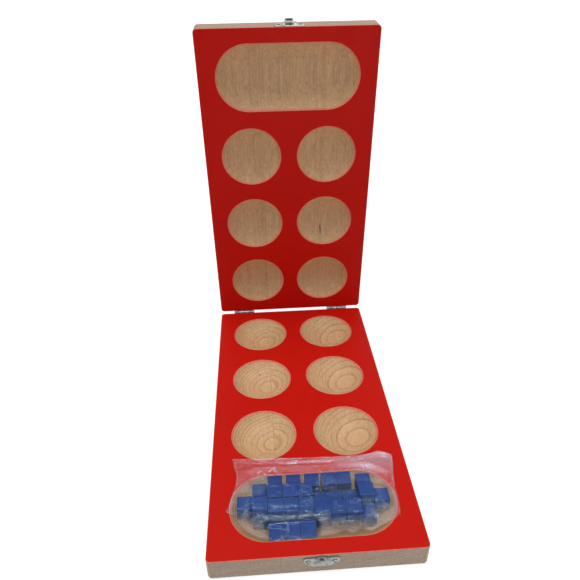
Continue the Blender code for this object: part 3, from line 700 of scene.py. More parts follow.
def object_from(name: str, shape: Shape, materials: Iterable[Material] = ()) -> Item:
    """Turn a bmesh into an object at the origin, and free the bmesh.

    Args:
        name: The name of the object and its mesh.
        shape: The bmesh.
        materials: Its materials, in the order of their slots.

    Returns:
        The new object.
    """
    mesh = bpy.data.meshes.new(name)
    shape.to_mesh(mesh)
    shape.free()
    for surface in materials:
        mesh.materials.append(surface)
    item = bpy.data.objects.new(name, mesh)
    bpy.context.scene.collection.objects.link(item)
    return item


def settled(item: Item) -> Shape:
    """Return the shape of an object with its modifiers applied, and remove the object.

    Args:
        item: The object.

    Returns:
        Its final shape.
    """
    view = bpy.context.evaluated_depsgraph_get()
    shape = bmesh.new()
    shape.from_object(item, view)
    bpy.data.objects.remove(item, do_unlink=True)
    return shape


def seat(piece: Item, body: Body, slot: Slot, *nodes: str) -> Item:
    """Let a finished piece ride on its body and stand for its CAD nodes.

    Args:
        piece: The object.
        body: The body that it rides on.
        slot: Its material slot; not used.
        nodes: The CAD nodes that it stands for.

    Returns:
        The same object.
    """
    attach(piece, body.value)
    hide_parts(*nodes)
    LOG.info("%s: %d faces", piece.name, len(piece.data.polygons))
    return piece


def mark_sharp(shape: Shape, angle: float, broad: float) -> None:
    """Shade a bmesh smooth but for clear edges and the borders of broad flat faces.

    Args:
        shape: The bmesh.
        angle: Edges that turn more than this are sharp, in radians.
        broad: A face of more than this area has sharp borders.
    """
    for face in shape.faces:
        face.smooth = True
    for edge in shape.edges:
        if len(edge.link_faces) != 2:
            edge.smooth = False
            continue
        sizes = [face.calc_area() > broad for face in edge.link_faces]
        edge.smooth = edge.calc_face_angle(0.0) < angle and not any(sizes)


def ease_edges(shape: Shape, edges: Sequence[bmesh.types.BMEdge], width: float, steps: int) -> None:
    """Round some edges of a bmesh."""
    bmesh.ops.bevel(shape, geom=edges, offset=width, segments=steps, profile=0.5, affect="EDGES",
                    material=-1)


def absorb(whole: Shape, part: Shape) -> None:
    """Move one bmesh into another, and free the first.

    Args:
        whole: The bmesh that grows.
        part: The bmesh that is moved.
    """
    loose = bpy.data.meshes.new("loose")
    part.to_mesh(loose)
    part.free()
    whole.from_mesh(loose)
    bpy.data.meshes.remove(loose)


def carve(blank: Item, guides: Sequence[Item]) -> Shape:
    """Cut some objects out of a blank, and remove them all.

    Args:
        blank: The object to cut.
        guides: The objects that are cut out, in their order.

    Returns:
        The shape that is left.
    """
    for guide in guides:
        cut = blank.modifiers.new("cut", "BOOLEAN")
        cut.object = guide
        cut.solver = "EXACT"
    shape = settled(blank)
    for guide in guides:
        bpy.data.objects.remove(guide, do_unlink=True)
    return shape


def heap_shape() -> Shape:
    """Return the CAD cubes in one bmesh.

    Returns:
        A new bmesh.
    """
    heap = bmesh.new()
    for node, item in frame["nodes"].items():
        if node.startswith("cube_"):
            heap.from_mesh(item.data)
    return heap


def unit(value: float) -> float:
    """Return a value held between 0 and 1."""
    return min(1.0, max(0.0, value))


def smooth(share: float) -> float:
    """Return a share eased at both ends."""
    return share * share * (3 - 2 * share)


@dataclass
class Dish:
    """A turned hollow in a leaf's face: round, or drawn out along X."""

    centre: tuple[float, float]
    radius: float
    depth: float
    half_straight: float = 0.0
    steps: int = 96
    rings: int = 22
    lip: float = 0.00035
    lip_steps: int = 4
    band: float = 0.0011

    def profile(self, face: float) -> list[tuple[float, float]]:
        """Return the hollow's section from its bottom to above the face.

        Args:
            face: The height of the leaf's face.

        Returns:
            Distances from the spine and heights.
        """
        curve = (self.radius ** 2 + self.depth ** 2) / (2 * self.depth)
        middle = face + curve - self.depth
        stop = math.asin(self.radius / curve) - self.lip / curve
        points = []
        turns = [stop * ring / self.rings for ring in range(self.rings)] + [stop - self.band / curve, stop]
        for angle in turns:
            points.append((curve * math.sin(angle), middle - curve * math.cos(angle)))
        start = Vector(points[-1])
        bend = Vector((self.radius, face))
        end = Vector((self.radius + self.lip, face))
        for step in range(1, self.lip_steps + 1):
            share = step / self.lip_steps
            place = start.lerp(bend, share).lerp(bend.lerp(end, share), share)
            points.append((place.x, place.y))
        points.append((self.radius + self.lip, face + OVERRUN))
        return points

    def cutter(self, face: float) -> Shape:
        """Return the closed shape that cuts the hollow.

        Args:
            face: The height of the leaf's face.

        Returns:
            A closed bmesh.
        """
        shape = bmesh.new()
        chain = [shape.verts.new((self.half_straight, -out, level)) for out, level in self.profile(face)]
        ring: list = chain + [shape.edges.new(pair) for pair in zip(chain, chain[1:])]
        if self.half_straight == 0.0:
            bmesh.ops.spin(shape, geom=ring, cent=(0.0, 0.0, 0.0), axis=(0.0, 0.0, 1.0), angle=math.tau,
                           steps=self.steps, use_merge=True)
        else:
            for side in (1, -1):
                turned = bmesh.ops.spin(shape, geom=ring, cent=(side * self.half_straight, 0.0, 0.0),
                                        axis=(0.0, 0.0, 1.0), angle=math.pi, steps=self.steps // 2)
                last = [part for part in turned["geom_last"] if isinstance(part, bmesh.types.BMEdge)]
                run = bmesh.ops.extrude_edge_only(shape, edges=last)["geom"]
                ends = [part for part in run if isinstance(part, bmesh.types.BMVert)]
                bmesh.ops.translate(shape, verts=ends, vec=(-2 * side * self.half_straight, 0.0, 0.0))
                ring = ends + [part for part in run if isinstance(part, bmesh.types.BMEdge)
                               and all(corner in ends for corner in part.verts)]
        bmesh.ops.remove_doubles(shape, verts=shape.verts, dist=MERGE)
        bmesh.ops.holes_fill(shape, edges=[edge for edge in shape.edges if edge.is_boundary], sides=0)
        bmesh.ops.recalc_face_normals(shape, faces=shape.faces)
        bmesh.ops.translate(shape, verts=shape.verts, vec=(*self.centre, 0.0))
        return shape


@dataclass
class Leaf:
    """One half of the board: bare beech, hollows turned in, its playing face painted red."""

    name: str
    body: Body
    placement: Matrix
    wood: BeechFinish
    paint: RedPaint = RedPaint()
    width: float = 0.140
    length: float = 0.264
    thickness: float = 0.018
    corner_radius: float = 0.003
    back_round: float = 0.0016
    face_round: float = 0.0004
    rim_paint: float = 0.00095
    land: float = 0.014
    pit_radius: float = 0.0245
    pit_depth: float = 0.012
    first_row: float = 0.0365
    store_width: float = 0.0505
    store_depth: float = 0.0135
    end_margin: float = 0.0006

    def dishes(self) -> list[Dish]:
        """Return the leaf's hollows.

        Returns:
            Six round hollows and the long one.
        """
        pitch = (self.length - 2 * self.first_row) / 3
        start = self.length / 2 - self.first_row
        column = (self.width - self.land) / 4
        found = [Dish((side * column, start - row * pitch), self.pit_radius, self.pit_depth)
                 for side in (-1, 1) for row in range(3)]
        radius = self.store_width / 2
        half = self.width / 2 - self.land - radius
        found.append(Dish((0.0, self.first_row - self.length / 2), radius, self.store_depth, half))
        return found

    def board(self) -> Shape:
        """Return the board before its hollows, with every edge eased.

        Returns:
            A closed bmesh in the leaf's own frame.
        """
        shape = bmesh.new()
        size = Matrix.Diagonal((self.width, self.length, self.thickness, 1.0))
        middle = Matrix.Translation((0.0, 0.0, self.thickness / 2))
        bmesh.ops.create_cube(shape, size=1.0, matrix=middle @ size)
        upright = [edge for edge in shape.edges
                   if abs(edge.verts[0].co.z - edge.verts[1].co.z) > self.thickness / 2]
        ease_edges(shape, upright, self.corner_radius, 8)
        for level, width, steps in ((0.0, self.back_round, 5), (self.thickness, self.face_round, 3)):
            rim = [edge for edge in shape.edges
                   if all(abs(corner.co.z - level) < MERGE for corner in edge.verts)]
            ease_edges(shape, rim, width, steps)
        return shape

    def cutters(self) -> Shape:
        """Return every hollow's cutter in one bmesh.

        Returns:
            A bmesh of separate closed shapes.
        """
        shape = bmesh.new()
        for dish in self.dishes():
            absorb(shape, dish.cutter(self.thickness))
        return shape

    def coat_slot(self, face: bmesh.types.BMFace) -> int:
        """Return 1 for the painted face, 2 for the thin paint at its edges and 0 for bare wood.

        Args:
            face: A face of the cut leaf, in its own frame.

        Returns:
            The number of its material slot.
        """
        middle = face.calc_center_median()
        depth = self.thickness - middle.z
        if depth < MERGE * 10 and face.normal.z > 0.999:
            return 1
        inner = (abs(middle.x) < self.width / 2 - self.corner_radius / 2
                 and abs(middle.y) < self.length / 2 - self.end_margin)
        return 2 if depth < (self.rim_paint if inner else self.face_round) else 0

    def build(self, shop: Workshop) -> Item:
        """Cut, sort, dress and seat the leaf.

        Args:
            shop: The shared groups.

        Returns:
            The seated leaf.
        """
        blank = object_from(self.name + "_blank", self.board())
        shape = carve(blank, [object_from(self.name + "_hollows", self.cutters())])
        for face in shape.faces:
            face.material_index = self.coat_slot(face)
        mark_sharp(shape, math.radians(30), BROAD_FACE)
        bmesh.ops.transform(shape, matrix=self.placement, verts=shape.verts)
        finishes = [self.wood.material(self.name + "_beech", shop, self.placement)]
        for ending, paint in (("_paint", self.paint), ("_paint_edge", RedPaint(bare_share=0.20))):
            finishes.append(paint.material(self.name + ending, self.wood, shop, self.placement))
        leaf = object_from(self.name + "_board", shape, finishes)
        return seat(leaf, self.body, Slot.BEECH, self.name)


@dataclass
class Screw:
    """A wood screw with a cross recess, where its CAD node is."""

    node: str
    body: Body
    outward: Vector
    style: HeadStyle
    shank_radius: float = 0.0008
    head_radius: float = 0.0014
    head_height: float = 0.0007
    sink_depth: float = 0.0008
    length: float = 0.009
    point: float = 0.0018
    recess_width: float = 0.0004
    recess_depth: float = 0.0004
    steps: int = 32

    def seat_place(self) -> Vector:
        """Return the middle of the screw's seat, found from the CAD node.

        Returns:
            A place in the part's frame.
        """
        low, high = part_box(self.node)
        corners = [vertex.co for vertex in frame["nodes"][self.node].data.vertices]
        top = max(corner.dot(self.outward) for corner in corners)
        middle = (low + high) / 2
        middle += self.outward * (top - middle.dot(self.outward))
        return middle - self.outward * (self.head_height if self.style is HeadStyle.ROUND else 0.0)

    def profile(self) -> list[tuple[float, float]]:
        """Return the screw's section from the middle of its head to its point.

        Returns:
            Distances from the screw's axis and heights.
        """
        if self.style is HeadStyle.ROUND:
            turns = [math.radians(part) for part in range(0, 91, 15)]
            head = [(self.head_radius * math.sin(turn), self.head_height * math.cos(turn)) for turn in turns]
        else:
            eased = self.head_radius - self.sink_depth / 10
            head = [(0.0, 0.0), (eased, 0.0), (self.head_radius, -self.sink_depth / 10)]
        seat_level = 0.0 if self.style is HeadStyle.ROUND else -self.sink_depth
        return head + [(self.shank_radius, seat_level), (self.shank_radius, self.point - self.length),
                       (0.0, -self.length)]

    def build(self, finish: Material) -> Item:
        """Turn the screw, press its recess and seat it.

        Args:
            finish: The metal's material.

        Returns:
            The seated screw.
        """
        shape = bmesh.new()
        chain = [shape.verts.new((out, 0.0, level)) for out, level in self.profile()]
        edges = [shape.edges.new(pair) for pair in zip(chain, chain[1:])]
        bmesh.ops.spin(shape, geom=chain + edges, cent=(0.0, 0.0, 0.0), axis=(0.0, 0.0, 1.0), angle=math.tau,
                       steps=self.steps, use_merge=True)
        bmesh.ops.remove_doubles(shape, verts=shape.verts, dist=MERGE)
        bmesh.ops.recalc_face_normals(shape, faces=shape.faces)
        top = self.head_height if self.style is HeadStyle.ROUND else 0.0
        blank = object_from(self.node + "_blank", shape)
        bar = Matrix.Diagonal((self.head_radius * 1.25, self.recess_width, 2 * self.recess_depth, 1.0))
        guides = []
        for turn in (0.0, math.pi / 2):
            guide = bmesh.new()
            place = Matrix.Translation((0.0, 0.0, top)) @ Matrix.Rotation(turn, 4, "Z") @ bar
            bmesh.ops.create_cube(guide, size=1.0, matrix=place)
            guides.append(object_from(self.node + "_recess", guide))
        shape = carve(blank, guides)
        mark_sharp(shape, math.radians(32), BROAD_FACE)
        turn = self.outward.to_track_quat("Z", "Y").to_matrix().to_4x4() @ Matrix.Rotation(0.4, 4, "Z")
        bmesh.ops.transform(shape, matrix=Matrix.Translation(self.seat_place()) @ turn, verts=shape.verts)
        return seat(object_from(self.node + "_head", shape, (finish,)), self.body, Slot.NICKEL, self.node)


@dataclass
class PlayingCubes:
    """The blue wooden cubes in their heap, with rubbed corners."""

    edge: float = 0.010
    rounding: float = 0.00042
    body: Body = Body.LOWER

    def blank(self, node: str) -> Shape:
        """Return the sharp cube or cubes of a CAD node.

        Args:
            node: The CAD node.

        Returns:
            A bmesh with sharp edges.
        """
        shape = bmesh.new()
        low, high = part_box(node)
        if high.x - low.x > 1.5 * self.edge:
            for side in (0, 1):
                middle = Vector((low.x + self.edge * (side + 0.5), (low.y + high.y) / 2,
                                 (low.z + high.z) / 2))
                block = Matrix.Translation(middle) @ Matrix.Diagonal((self.edge - 4 * MERGE,) * 3).to_4x4()
                bmesh.ops.create_cube(shape, size=1.0, matrix=block)
        else:
            shape.from_mesh(frame["nodes"][node].data)
            bmesh.ops.remove_doubles(shape, verts=shape.verts, dist=MERGE * 10)
            bmesh.ops.dissolve_limit(shape, angle_limit=math.radians(1), verts=shape.verts,
                                     edges=shape.edges)
        return shape

    def build(self, node: str, tone: float, finish: Material) -> Item:
        """Round one cube's edges, give it its own tone and seat it.

        Args:
            node: The CAD node.
            tone: The cube's own shade, from 0 to 1.
            finish: The stained wood's material.

        Returns:
            The seated cube.
        """
        shape = self.blank(node)
        ease_edges(shape, shape.edges[:], self.rounding, 3)
        broad = (self.edge * 0.6) ** 2
        mark_sharp(shape, math.radians(60), 1.0)
        own = shape.verts.layers.float.new("tone")
        rubbed = shape.verts.layers.float.new("rubbed")
        for corner in shape.verts:
            corner[own] = tone
            corner[rubbed] = 0.0 if any(face.calc_area() > broad for face in corner.link_faces) else 1.0
        cube = object_from(node + "_eased", shape, (finish,))
        return seat(cube, self.body, Slot.STAIN, node)


def flow(points: Sequence[Sequence[float]], count: int) -> list[Vector]:
    """Return evenly spaced places on a smooth curve through some points.

    Args:
        points: The points, ends included.
        count: How many steps the curve is cut into.

    Returns:
        One more place than steps.
    """
    marks = [Vector(point) for point in points]
    marks = [2 * marks[0] - marks[1]] + marks + [2 * marks[-1] - marks[-2]]
    fine: list[Vector] = []
    for first, start, end, last in zip(marks, marks[1:], marks[2:], marks[3:]):
        away, near = start + (end - first) / 6, end - (last - start) / 6
        fine.extend(interpolate_bezier(start, away, near, end, 24)[:-1])
    fine.append(marks[-2])
    reach = [0.0]
    for start, end in zip(fine, fine[1:]):
        reach.append(reach[-1] + (end - start).length)
    found, spot = [], 0
    for step in range(count + 1):
        goal = reach[-1] * step / count
        while spot < len(fine) - 2 and reach[spot + 1] < goal:
            spot += 1
        share = (goal - reach[spot]) / (reach[spot + 1] - reach[spot])
        found.append(fine[spot].lerp(fine[spot + 1], share))
    return found


@dataclass
class FilmBag:
    """A flat clear bag: one film over the heap and one under it, joined at their edges."""

    far: tuple = ((-0.0553, -0.0545, 0.0194), (-0.045, -0.0549, 0.0189), (-0.020, -0.0562, 0.0194),
                  (0.000, -0.0568, 0.0189), (0.022, -0.0580, 0.0196), (0.042, -0.0572, 0.0190),
                  (0.052, -0.0558, 0.0200), (0.0615, -0.0590, 0.0190))
    right: tuple = ((0.0615, -0.0590, 0.0190), (0.0605, -0.0680, 0.0188), (0.0588, -0.0780, 0.0186),
                    (0.0578, -0.0880, 0.0185), (0.0580, -0.0980, 0.0187), (0.0565, -0.1082, 0.0200))
    near: tuple = ((-0.0590, -0.0974, 0.0200), (-0.0523, -0.1026, 0.0174), (-0.0475, -0.1103, 0.0170),
                   (-0.0395, -0.1162, 0.0170), (-0.0320, -0.1200, 0.0180), (-0.0260, -0.1214, 0.0187),
                   (-0.0120, -0.1217, 0.0188), (-0.0010, -0.1214, 0.0187), (0.0060, -0.1196, 0.0180),
                   (0.0120, -0.1185, 0.0168), (0.0175, -0.1168, 0.0182), (0.0230, -0.1186, 0.0167),
                   (0.0290, -0.1164, 0.0184), (0.0350, -0.1180, 0.0169), (0.0420, -0.1150, 0.0178),
                   (0.0480, -0.1128, 0.0174), (0.0565, -0.1082, 0.0200))
    left: tuple = ((-0.0553, -0.0545, 0.0194), (-0.0540, -0.0620, 0.0188), (-0.0520, -0.0700, 0.0186),
                   (-0.0530, -0.0780, 0.0185), (-0.0555, -0.0860, 0.0184), (-0.0570, -0.0930, 0.0185),
                   (-0.0590, -0.0974, 0.0200))
    across: int = 100
    along: int = 56
    crown: float = 0.0305
    clearance: float = 0.0003
    sim_scale: float = 20.0
    frames: int = 46
    shrink: float = 0.045
    store_centre: float = -0.0955
    store_straight: float = 0.03075
    store_radius: float = 0.0256
    land_level: float = 0.018
    land_rise: float = 0.0016
    rise_width: float = 0.007
    hollow_fade: float = 0.002
    heap_fade: float = 0.002
    rim_band: float = 0.012
    body: Body = Body.LOWER
    skin: float = 0.004
    friction: float = 12.0
    strip_share: float = 0.10
    dome_share: float = 0.22
    strip_lift: float = 0.0008
    ripple_scale: float = 90.0
    ripple_height: float = 0.0016
    joined_rows: int = 5
    flat_edge: float = 0.0006
    lip_start: float = 0.0009
    lip_slope: float = 1.2
    seam: float = 0.00005
    loose_start: float = 0.0008
    loose_width: float = 0.0022
    broad_crinkle: float = 0.00020
    fine_crinkle: float = 0.00009
    full_bend: float = 0.20
    broad_scale: float = 210.0
    fine_scale: float = 430.0
    ray_height: float = 0.05

    def outline_grid(self) -> list[list[Vector]]:
        """Return a grid of places that fills the outline, rows from far to near.

        Returns:
            Rows of places, each from left to right.
        """
        far, near = flow(self.far, self.across), flow(self.near, self.across)
        left, right = flow(self.left, self.along), flow(self.right, self.along)
        rows = []
        for row in range(self.along + 1):
            v = row / self.along
            line = []
            for column in range(self.across + 1):
                u = column / self.across
                straight = far[column].lerp(near[column], v) + left[row].lerp(right[row], u)
                corners = far[0].lerp(far[-1], u).lerp(near[0].lerp(near[-1], u), v)
                line.append(straight - corners)
            rows.append(line)
        return rows

    def raised(self, place: Vector, u: float, v: float) -> Vector:
        """Return a place of the upper film before it falls: a slack dome over the heap.

        Args:
            place: The place in the outline.
            u: Its share of the way from the left edge to the right.
            v: Its share of the way from the far edge to the near.

        Returns:
            The raised place.
        """
        sides = math.sqrt(max(0.0, 1 - abs(2 * u - 1) ** 7))
        near = math.sqrt(max(0.0, 1 - abs(v) ** 9))
        far = smooth(unit((v - self.strip_share) / self.dome_share))
        lift = (self.crown - place.z) * sides * near * far
        strip = self.strip_lift * math.sin(math.pi * min(1.0, v / 0.3)) * sides
        ripple = noise.noise(place * self.ripple_scale) * self.ripple_height * sides * near
        ripple *= min(1.0, v / 0.1)
        return place + Vector((0.0, 0.0, lift + strip + ripple))

    def floor_at(self, under: BVHTree, place: Vector) -> float:
        """Return the height of the leaf under a place."""
        return under.ray_cast(Vector((place.x, place.y, self.ray_height)), Vector((0.0, 0.0, -1.0)))[0].z

    def colliders(self, board: Item) -> list[Item]:
        """Return enlarged copies of the heap and the leaf that the film falls on.

        Args:
            board: The lower leaf.

        Returns:
            The two objects.
        """
        leaf = bmesh.new()
        leaf.from_mesh(board.data)
        found = []
        for name, shape in (("heap_form", heap_shape()), ("leaf_form", leaf)):
            bmesh.ops.remove_doubles(shape, verts=shape.verts, dist=MERGE)
            bmesh.ops.scale(shape, verts=shape.verts, vec=(self.sim_scale,) * 3)
            form = object_from(name, shape)
            form.modifiers.new("solid", "COLLISION")
            form.collision.thickness_outer = self.skin
            form.collision.cloth_friction = self.friction
            found.append(form)
        return found

    def drape(self, film: Shape, rim: list[int], board: Item) -> Shape:
        """Let the upper film fall onto the heap, its rim held.

        Args:
            film: The film before it falls.
            rim: The numbers of its held corners.
            board: The lower leaf.

        Returns:
            The fallen film.
        """
        forms = self.colliders(board)
        bmesh.ops.scale(film, verts=film.verts, vec=(self.sim_scale,) * 3)
        sheet = object_from("film_blank", film)
        sheet.vertex_groups.new(name="held").add(rim, 1.0, "REPLACE")
        cloth = sheet.modifiers.new("fall", "CLOTH")
        for holder, settings in ((cloth.settings, CLOTH), (cloth.collision_settings, CLOTH_TOUCH)):
            for name, value in settings.items():
                setattr(holder, name, value)
        cloth.settings.shrink_min = self.shrink
        cloth.point_cache.frame_start = 1
        cloth.point_cache.frame_end = self.frames
        scene = bpy.context.scene
        for step in range(1, self.frames + 1):
            scene.frame_set(step)
        fallen = settled(sheet)
        scene.frame_set(1)
        for form in forms:
            bpy.data.objects.remove(form, do_unlink=True)
        bmesh.ops.scale(fallen, verts=fallen.verts, vec=(1 / self.sim_scale,) * 3)
        return fallen

    def sheet(self, places: list[list[Vector]]) -> Shape:
        """Return a film through a grid of places, its faces up.

        Args:
            places: The grid of places, in rows from far to near.

        Returns:
            A bmesh whose corners are numbered row by row.
        """
        shape = bmesh.new()
        bmesh.ops.create_grid(shape, x_segments=self.across, y_segments=self.along, size=1.0)
        ordered = sorted(shape.verts, key=lambda corner: (-round(corner.co.y, 5), round(corner.co.x, 5)))
        for number, corner in enumerate(ordered):
            row, column = divmod(number, self.across + 1)
            corner.co = places[row][column]
            corner.index = number
        shape.verts.sort()
        return shape

    def upper(self, grid: list[list[Vector]], under: BVHTree, board: Item) -> Shape:
        """Return the upper film, fallen onto the heap.

        Args:
            grid: The places in the outline.
            under: The lower leaf's surface.
            board: The lower leaf.

        Returns:
            The film.
        """
        domed = [[self.raised(place, column / self.across, row / self.along)
                  for column, place in enumerate(line)] for row, line in enumerate(grid)]
        film = self.sheet(domed)
        width = self.across + 1
        rim = [number for number in range(width * (self.along + 1))
               if number % width in (0, self.across) or number // width in (0, self.along)]
        film = self.drape(film, rim, board)
        for corner in film.verts:
            corner.co.z = max(corner.co.z, self.floor_at(under, corner.co) + self.clearance)
        return film

    def lower(self, grid: list[list[Vector]], under: BVHTree) -> Shape:
        """Return the lower film, which lies on the leaf and in its store.

        Args:
            grid: The places in the outline.
            under: The lower leaf's surface.

        Returns:
            The film, its faces down.
        """
        rows = []
        for row, line in enumerate(grid):
            laid = []
            for column, place in enumerate(line):
                inset = min(row, self.along - row, column, self.across - column)
                floor = self.floor_at(under, place) + self.clearance / 2
                level = place.z + (floor - place.z) * min(1.0, inset / self.joined_rows)
                laid.append(Vector((place.x, place.y, max(level, floor))))
            rows.append(laid)
        film = self.sheet(rows)
        bmesh.ops.reverse_faces(film, faces=film.faces)
        return film

    def beyond_store(self, place: Vector) -> float:
        """Return how far a place lies outside the store's outline, or less than 0 inside it."""
        across = max(0.0, abs(place.x) - self.store_straight)
        return math.hypot(across, place.y - self.store_centre) - self.store_radius

    def press(self, shape: Shape, lid: BVHTree) -> None:
        """Keep the film under the closed upper leaf, and low where it lies on the land.

        Args:
            shape: The bag.
            lid: The upper leaf, closed over the lower one.
        """
        base = self.land_level + self.clearance
        for corner in shape.verts:
            outside = self.beyond_store(corner.co)
            if outside > 0:
                share = unit((outside - self.flat_edge) / self.rise_width)
                ceiling = base + self.land_rise * smooth(share)
            else:
                start = Vector((corner.co.x, corner.co.y, self.land_level + self.clearance / 2))
                above = lid.ray_cast(start, Vector((0.0, 0.0, 1.0)))[0]
                ceiling = above.z - self.clearance / 2 if above else corner.co.z
                ceiling = min(ceiling, base + self.lip_slope * max(0.0, -outside - self.lip_start))
            corner.co.z = min(corner.co.z, ceiling)

    def mark_film(self, shape: Shape) -> None:
        """Write where the film hangs free of the cubes, and where it hangs free by the store's rim.

        Args:
            shape: The bag.
        """
        heap = heap_shape()
        solid = BVHTree.FromBMesh(heap)
        heap.free()
        loose, inside = (shape.verts.layers.float.get(name) for name in ("loose", "over_hollow"))
        for corner in shape.verts:
            away = solid.find_nearest(corner.co)[3]
            corner[loose] = unit((away - self.loose_start) / self.loose_width)
            clear = unit((away - self.heap_fade) / (2 * self.heap_fade))
            inset = -self.beyond_store(corner.co)
            band = unit((self.rim_band - inset) / (2 * self.hollow_fade))
            corner[inside] = clear * band * unit(inset / self.hollow_fade)

    def crinkle(self, shape: Shape) -> None:
        """Raise small wandering ridges, most where the film hangs free.

        Args:
            shape: The bag.
        """
        loose = shape.verts.layers.float.get("loose")
        moved = {}
        for corner in shape.verts:
            place = corner.co + Vector((0.0, 0.0, 2.0 * corner.normal.z))
            broad = 1 - 2 * abs(noise.noise(place * self.broad_scale))
            fine = 1 - 2 * abs(noise.noise(place * self.fine_scale + Vector((7.0, 3.0, 1.0))))
            height = self.broad_crinkle * broad ** 3 + self.fine_crinkle * fine
            moved[corner] = corner.normal * height * (0.25 + 0.75 * corner[loose])
        for corner, move in moved.items():
            corner.co += move if corner.normal.z > 0 else -move * 0.3

    def crease(self, shape: Shape, lid: BVHTree) -> None:
        """Crinkle and press the film, and write where it hangs free and where it bends sharply.

        Args:
            shape: The bag.
            lid: The upper leaf, closed over the lower one.
        """
        for name in ("crease", "loose", "over_hollow"):
            shape.verts.layers.float.new(name)
        bend, loose = (shape.verts.layers.float.get(name) for name in ("crease", "loose"))
        shape.normal_update()
        self.mark_film(shape)
        self.crinkle(shape)
        self.press(shape, lid)
        shape.normal_update()
        for corner in shape.verts:
            around = [edge.other_vert(corner).co for edge in corner.link_edges]
            middle = sum(around, Vector()) / len(around)
            span = sum((place - corner.co).length for place in around) / len(around)
            raw = abs((middle - corner.co).dot(corner.normal)) / max(span, MERGE)
            corner[bend] = min(1.0, raw / self.full_bend) * (0.2 + 0.8 * corner[loose])

    def build(self, board: Item, upper_leaf: Item, finish: Material) -> None:
        """Drape, join, crease and seat the bag.

        Args:
            board: The lower leaf.
            upper_leaf: The upper leaf, as it stands in the photograph.
            finish: The film's material.
        """
        closed = bmesh.new()
        closed.from_mesh(upper_leaf.data)
        closed.transform(upper_placement(0.0) @ upper_placement().inverted())
        lid = BVHTree.FromBMesh(closed)
        closed.free()
        under = BVHTree.FromObject(board, bpy.context.evaluated_depsgraph_get())
        grid = self.outline_grid()
        whole = bmesh.new()
        absorb(whole, self.upper(grid, under, board))
        absorb(whole, self.lower(grid, under))
        rim = [corner for corner in whole.verts if corner.is_boundary]
        bmesh.ops.remove_doubles(whole, verts=rim, dist=self.seam)
        for face in whole.faces:
            face.smooth = True
        blank = object_from("bag_blank", whole)
        rounder = blank.modifiers.new("rounder", "SUBSURF")
        rounder.levels = rounder.render_levels = 1
        whole = settled(blank)
        self.crease(whole, lid)
        skirt = whole.copy()
        for shape, outside in ((whole, True), (skirt, False)):
            spare = [face for face in shape.faces
                     if (self.beyond_store(face.calc_center_median()) > 0) is outside]
            bmesh.ops.delete(shape, geom=spare, context="FACES")
        seat(object_from("film_bag", whole, (finish,)), self.body, Slot.FILM, "bag_film")
        flap = seat(object_from("film_bag_skirt", skirt, (finish,)), self.body, Slot.FILM, "bag_film")
        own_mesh(flap)


def put(name: str, data: Value, place: Place, turn: Euler) -> Item:
    """Add a camera or a lamp to the scene.

    Args:
        name: The name of the object.
        data: The data of the camera or the lamp.
        place: Where it stands.
        turn: How it is turned.

    Returns:
        The new object.
    """
    item = bpy.data.objects.new(name, data)
    item.location = place
    item.rotation_euler = turn
    bpy.context.scene.collection.objects.link(item)
    return item


@dataclass(frozen=True)
class Lamp:
    """A square soft lamp that looks at a point."""

    name: str
    place: Place
    aim: Place
    size: float
    power: float

    def hang(self) -> None:
        """Add the lamp to the scene."""
        data = bpy.data.lights.new(self.name, "AREA")
        data.shape = "SQUARE"
        data.size = self.size
        data.energy = self.power
        aim = Vector(self.aim) - Vector(self.place)
        put(self.name, data, self.place, aim.to_track_quat("-Z", "Y").to_euler())


